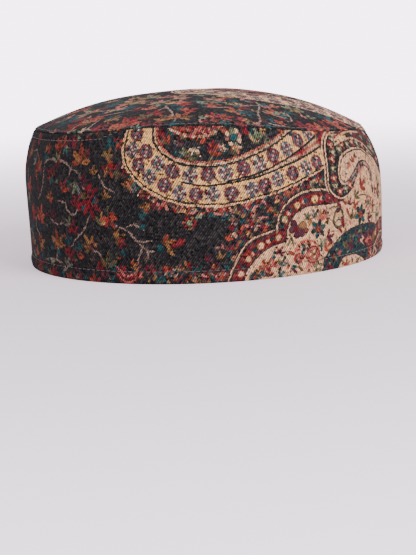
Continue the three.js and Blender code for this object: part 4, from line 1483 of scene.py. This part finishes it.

# The crown's pattern, charted in plan: leaves with the same columns as the band's, stems, and the
# front ground on which smaller leaves lie between them
crown_leaves = [
    (-36, -75, 13, 95, "orange rust red", 5), (-22, -70, 9, 70, "red crimson", 5),
    (-27, -73, 9, 120, "olive brown", 3), (-18, -79, 9, 110, "ochre brown rust", 5),
    (-8, -79, 9, 60, "ochre rust brown", 5), (-10, -68, 9, 70, "teal deep", 3),
    (-5, -71, 8, 30, "orange rust red", 5), (6, -79, 8, 100, "red orange", 3),
    (9.5, -78, 6, 60, "teal deep", 3), (12.5, -80, 8, 20, "orange red rust", 5),
    (18.5, -69, 10, 60, "orange ochre rust", 5), (23, -72, 9, 300, "teal deep", 5),
    (21, -61.5, 9, 40, "crimson teal", 5), (15, -58, 7, 60, "ochre sage", 3),
    (36, -60, 10, 110, "ochre orange rust", 5), (40, -61, 8, 60, "teal sage", 5),
    (34, -74, 7, 80, "teal deep", 3), (38, -74, 6, 60, "orange rust", 3),
    (31, -77, 5, 60, "plum crimson", 3), (52, -67, 11, 75, "red crimson", 5),
    (61, -62, 12, 70, "orange rust red", 5), (64, -42, 11, 80, "teal deep", 5),
    (67.5, -46, 11, 80, "orange rust", 5), (65, -31, 10, 80, "sage teal", 3),
    (53, -35, 9, 110, "teal crimson", 5), (47, -45, 10, 60, "olive sage", 5),
    (46, -49, 8, 250, "olive ochre", 3), (-42, -62, 9, 30, "teal deep", 5),
    (-42, -66, 8, 300, "ochre brown", 5), (-48, -72, 9, 20, "crimson red", 5),
    (-65, -38, 14, 80, "teal deep", 5), (-57, -33, 12, 100, "ochre sage coral", 5),
    (-61, -45, 9, 70, "red crimson", 3), (-64, -54, 11, 110, "red crimson", 5),
    (-57, -55, 11, 100, "ochre rust", 3), (-50, -54, 9, 20, "orange rust", 5),
    (-31, -57, 8, 20, "crimson plum", 3), (-25, -60, 8, 70, "orange coral", 3),
    (-17, -58, 6, 60, "teal deep", 3), (-11, -55, 9, 60, "ochre gold", 5),
    (-7, -59, 9, 30, "red coral", 5), (7, -63, 8, 20, "orange rust", 5), (1, -59, 6, 60, "sage grey", 3),
    (8, -57, 6, 120, "teal sage", 3), (7, -49, 10, 90, "pink olive coral", 5),
    (17, -51, 8, 30, "teal deep", 3), (-20, -48, 10, 80, "sage pink ochre", 5),
    (-26, -44, 9, 60, "plum coral", 3), (-9, -44, 9, 60, "pink sage coral", 5),
    (-37, -47, 10, 50, "teal deep", 5), (-42, -44, 10, 80, "sage coral pink", 5),
    (-47, -30, 11, 110, "teal crimson", 5), (-42, -25, 11, 80, "teal deep", 3),
    (-36, -35, 11, 80, "ochre coral", 5), (-30, -38, 9, 60, "ochre sage", 5),
    (-17, -33, 9, 80, "pink coral teal", 5), (-26, -26, 11, 90, "sage ochre", 5),
    (-10, -36, 8, 60, "ochre gold", 3), (-4, -27, 12, 90, "crimson teal pink", 5),
    (3, -31, 8, 70, "teal pink", 5), (4, -38, 8, 60, "teal deep", 3), (9, -34, 8, 60, "sage coral", 3),
    (13, -40, 8, 90, "ochre gold", 5), (23, -46, 8, 30, "teal pink", 3), (31, -50, 7, 60, "teal sage", 3),
    (37, -49, 7, 20, "coral ochre", 3), (55, -52, 6, 40, "olive sage", 3),
    (72, -38, 9, 90, "orange rust", 3), (44, -55, 6, 60, "teal", 3), (-71, -30, 9, 60, "olive grey", 3),
    (-76, -24, 10, 100, "crimson plum", 5), (-73, -12, 10, 60, "sage olive", 3),
    (-62, -14, 11, 80, "rust coral", 5), (-52, -12, 9, 60, "teal deep", 3), (-64, -66, 6, 30, "teal", 3),
    (1.5, -87, 6, 60, "crimson pink red", 3), (7, -85, 6, 20, "rust orange", 3),
    (-12, -88.5, 8, 350, "teal deep", 3), (11.5, -87, 6, 40, "teal", 3),
    (18.5, -86, 6, 60, "red crimson", 3), (22, -82, 6, 20, "olive gold", 3),
    (27, -83, 5, 60, "pink coral", 3), (-20.5, -86, 6, 30, "crimson red", 3),
    (-74, -48, 6, 60, "rust sage pink", 3), (-64, -60, 6, 60, "ochre sage", 3),
    (-58, -66, 6, 60, "cream sage", 3), (-42, -78, 7, 30, "ochre orange", 3),
    (-31, -84, 6, 60, "teal sage", 3), (33, -82, 6, 30, "teal deep", 3), (-50, -73, 5, 90, "crimson", 3),
    (-80, -5, 9, 90, "crimson red", 5), (-70, 3, 8, 30, "ochre brown", 5),
    (-26, -83, 6, 40, "crimson red", 3), (20, -81, 6, 20, "red rust", 3),
    (27, -65, 5, 60, "olive ochre", 3),
]
crown_stems = [
    [(-17, -59), (-16, -66), (-14, -72), (-13, -78), (-12, -82), (-14, -88)],
    [(-21, -69), (-19, -66), (-16.5, -64)],
    [(29, -50), (29, -60), (28, -68), (28.5, -75), (28, -80), (25, -84)],
    [(28, -76), (33, -79), (42, -77)], [(42, -58), (44, -63), (44, -68), (42, -69.5)],
    [(-50, -60), (-53, -64), (-55, -68), (-53, -71)], [(-29, -56), (-38, -56), (-46, -54), (-52, -52)],
    [(0, -57), (8, -56), (14, -58)], [(31, -64), (36, -66), (42, -66)],
    [(-60, -24), (-56, -34), (-50, -40), (-42, -49)], [(20, -58), (27, -55), (33, -52)],
    [(2, -67), (8, -67), (14, -65)],
]

crown_front = [
    (-84, -20), (-70, -52), (-40, -80), (0, -90), (40, -80), (68, -50), (62, -28), (30, -42), (6, -34),
    (-6, -18), (-20, 10), (-60, 40), (-84, 10),
]
crown_front_colours = "crimson red/olive ochre/teal deep/ochre gold/pink plum/sage olive"

# Where the band's leaves come again behind the middle of the crown, and where its boteh does, in plan
LEAVES_AGAIN = [(60, 12), (163, 8)]
BOTEH_AGAIN = [(25, -78)]

# Painted light: the crown's colours are painted paler and greyer, for the light and sheen on the top
CROWN_PAINTED_LIGHT = 1.55
CROWN_PAINTED_SHEEN = 0.12
CROWN_BLACK_PAINTED_LIGHT = 1.25
BLACK_YARN = 0.025


def crown(chart):
    """The pattern of the crown: leaves thick at the front, and the upper part of a boteh at the right."""
    sprinkle(chart, crown_front, 12, 5, 60, 80, crown_front_colours, 5)
    for line in crown_stems:
        chart.stroke(line, 0.9, "stem")
    leafage(chart, crown_leaves, scale=0.95)
    chart.repeats = LEAVES_AGAIN
    leafage(chart, [row for row in leaves if row[0] < -40])
    for line in stems:
        if line[0][0] < -46:
            chart.stroke(line, 0.9, "stem")
    chart.repeats = BOTEH_AGAIN
    boteh(chart, "cream")


crown_faces, crown_corners = flat_faces(crown_mesh, 0)
crown_chart = Chart(crown_corners, [(0, 0)], "black")
crown(crown_chart)
# Painted light and sheen on the top: all colours greyer, and paler
greyer = crown_chart.colours.mean(axis=-1, keepdims=True)
crown_chart.colours += CROWN_PAINTED_SHEEN * (greyer - crown_chart.colours)
crown_chart.colours *= np.where(greyer > BLACK_YARN, CROWN_PAINTED_LIGHT, CROWN_BLACK_PAINTED_LIGHT)
crown_chart.weave_into(crown_mesh, crown_faces)
crown_top.data.materials.append(face_cloth)
crown_top.data.materials.append(backing_cloth)
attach(crown_top, "root")
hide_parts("crown_top")


# The topstitching. One pale thread runs round the hem, one below the shoulder seam and one along the
# crown's edge: short lockstitches, each drawn down into the cloth at both ends.
STITCH_LENGTH = 2.5
THREAD_THICKNESS = 0.34
THREAD_RISES = 0.12
TURN_ALONG = Matrix.Rotation(math.pi / 2, 3, "Y")
DARK_PLY, PALE_PLY = (0.06, 0.045, 0.045, 1), (0.165, 0.125, 0.12, 1)
PLY_SCALE, PLY_DETAIL = 900.0, 2.0
THREAD_FINISH = {"Roughness": 0.7, "Sheen Weight": 0.3}
# The upper row shows only where its line lies this far below the seam, in millimetres
SHOWS_BELOW = 0.5


def stitch_row(name, places, bend):
    """A row of stitches at flat places, bent onto the cloth by a function of the flat points."""
    bm = bmesh.new()
    for along, up in places:
        made = bmesh.ops.create_uvsphere(bm, u_segments=6, v_segments=6, radius=0.5)["verts"]
        bmesh.ops.rotate(bm, verts=made, matrix=TURN_ALONG)
        bmesh.ops.scale(bm, verts=made, vec=(STITCH_LENGTH, THREAD_THICKNESS, THREAD_THICKNESS))
        bmesh.ops.translate(bm, verts=made, vec=(along, up, THREAD_RISES))
    mesh = bpy.data.meshes.new(name)
    smooth_mesh(bm, mesh)
    place_vertices(mesh, bend(*values_of(mesh.vertices, "co", 3).reshape(-1, 3).T))
    row = piece_of(name, mesh)
    row.data.materials.append(thread)
    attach(row, "root")
    return row


def thread_material():
    """Cotton thread, spun from a dark and a pale ply, a little grey and pink."""
    material, tree = empty_material("stitching_thread")
    place = add_node(tree, "TexCoord").outputs["Object"]
    noise = add_node(tree, "TexNoise", (place, None, PLY_SCALE, PLY_DETAIL))
    colour = blend(tree, noise.outputs[0], DARK_PLY, PALE_PLY)
    shaded(tree, colour, THREAD_FINISH)
    return material


thread = thread_material()
stitch_count = round(2 * HALF_ROUND / STITCH_PITCH)
stitch_places = np.linspace(-HALF_ROUND, HALF_ROUND, stitch_count, endpoint=False)


def below_seam(across, up, lift):
    """Points on the band's face, in metres, from flat ones that are measured up from the seam."""
    return on_band(across, seam_height(turn_at(across)) + up, lift)


def on_crown(across, from_edge, lift):
    """Points on the crown's face, in metres, from flat ones that are measured in from its edge."""
    turn = turn_at(across)
    share = 1 - from_edge / EDGE_REACH
    return crown_point(share, turn, -lift - crown_relief(share, turn)) * MM


stitch_row("hem_topstitch", [(at, HEM_LINE) for at in stitch_places], on_band)
shoulder_places = [(at, -shoulder_line(at)) for at in stitch_places if shoulder_line(at) > SHOWS_BELOW]
stitch_row("shoulder_topstitch", shoulder_places, below_seam)
stitch_row("crown_topstitch", [(at, CROWN_LINE) for at in stitch_places], on_crown)


# The floor, the soft light and the camera, which stands where the photographer's did. The floor is a
# round pale sweep: flat under the cap, and turned up far out so that no edge shows from any side.
FLOOR_REACH = 2.2
SWEEP_ROUND = 1.0
SWEEP_STEPS = 12
bm = bmesh.new()
bmesh.ops.create_circle(bm, cap_ends=True, segments=96, radius=FLOOR_REACH)
rim = [edge for edge in bm.edges if edge.is_boundary]
reach = FLOOR_REACH
for step in range(1, SWEEP_STEPS + 1):
    angle = math.pi / 2 * step / SWEEP_STEPS
    grown, ring, rim = grow_edge(bm, rim)
    wider = FLOOR_REACH + SWEEP_ROUND * math.sin(angle)
    bmesh.ops.scale(bm, verts=ring, vec=(wider / reach, wider / reach, 1))
    height = SWEEP_ROUND * (1 - math.cos(angle))
    bmesh.ops.translate(bm, verts=ring, vec=(0, 0, height - ring[0].co.z))
    reach = wider
floor_mesh = bpy.data.meshes.new("floor")
smooth_mesh(bm, floor_mesh)
floor = piece_of("floor", floor_mesh)

# Painted light: the paper glows a little where the camera sees it, faintly under the cap, where the lesser
# glow leaves a painted shade, and more the further away
PAPER_COLOUR = (0.86, 0.82, 0.86, 1)
GLOW_COLOUR = (1.0, 0.82, 0.98, 1)
GLOW_STARTS, GLOW_ENDS = 0.12, 1.3
NEAR_GLOW, FAR_GLOW = 0.6, 5.2
paper = bpy.data.materials.new("pale_glowing_paper")
paper.use_nodes = True
paper_tree = paper.node_tree
paper_shader = paper_tree.nodes["Principled BSDF"]
paper_shader.inputs["Base Color"].default_value = PAPER_COLOUR
paper_shader.inputs["Roughness"].default_value = 0.9
paper_shader.inputs["Emission Color"].default_value = GLOW_COLOUR
place = add_node(paper_tree, "TexCoord").outputs["Object"]
away = add_node(paper_tree, "VectorMath", (place,), operation="LENGTH").outputs[1]
glow_range = (away, GLOW_STARTS, GLOW_ENDS, NEAR_GLOW, FAR_GLOW)
distant = add_node(paper_tree, "MapRange", glow_range, interpolation_type="SMOOTHSTEP").outputs[0]
# Painted light: only camera rays see the glow
seen = add_node(paper_tree, "LightPath").outputs[0]
paper_tree.links.new(maths(paper_tree, "MULTIPLY", seen, distant), paper_shader.inputs["Emission Strength"])
floor.data.materials.append(paper)

ROOM_COLOUR, ROOM_STRENGTH = (1.0, 0.95, 0.99, 1), 0.66
world = bpy.data.worlds.new("soft_room")
world.use_nodes = True
world.node_tree.nodes["Background"].inputs["Color"].default_value = ROOM_COLOUR
world.node_tree.nodes["Background"].inputs["Strength"].default_value = ROOM_STRENGTH
bpy.context.scene.world = world


def soft_light(name, place, aim, size, power):
    """A square soft box at a place in metres, turned towards its aim."""
    light = bpy.data.lights.new(name, "AREA")
    light.size = size
    light.energy = power
    made = bpy.data.objects.new(name, light)
    bpy.context.scene.collection.objects.link(made)
    made.location = place
    made.rotation_euler = (Vector(aim) - Vector(place)).to_track_quat("-Z", "Y").to_euler()


CAP_MIDDLE = (0, 0, 0.04)
soft_light("window", place=(1.1, -1.3, 0.9), aim=CAP_MIDDLE, size=1.0, power=35)
soft_light("fill", place=(-1.0, -1.2, 0.7), aim=CAP_MIDDLE, size=1.2, power=3.5)

# The photograph is 416 pixels wide; the lens is its focal length in pixels on a 36 mm sensor
PHOTO_WIDTH = 416
FOCAL_PIXELS = 1393.95
SENSOR = 36.0
CAMERA_PLACE = (0, -0.750, 0.1142)
CAMERA_PITCH = -0.1692
CAMERA_ROLL = -0.0456
camera_data = bpy.data.cameras.new("camera")
camera_data.sensor_width = SENSOR
camera_data.sensor_fit = "HORIZONTAL"
camera_data.lens = FOCAL_PIXELS / PHOTO_WIDTH * SENSOR
camera = bpy.data.objects.new("camera", camera_data)
bpy.context.scene.collection.objects.link(camera)
camera.location = CAMERA_PLACE
looking = Matrix.Rotation(math.pi / 2 + CAMERA_PITCH, 3, "X") @ Matrix.Rotation(CAMERA_ROLL, 3, "Z")
camera.rotation_euler = looking.to_euler()
bpy.context.scene.camera = camera
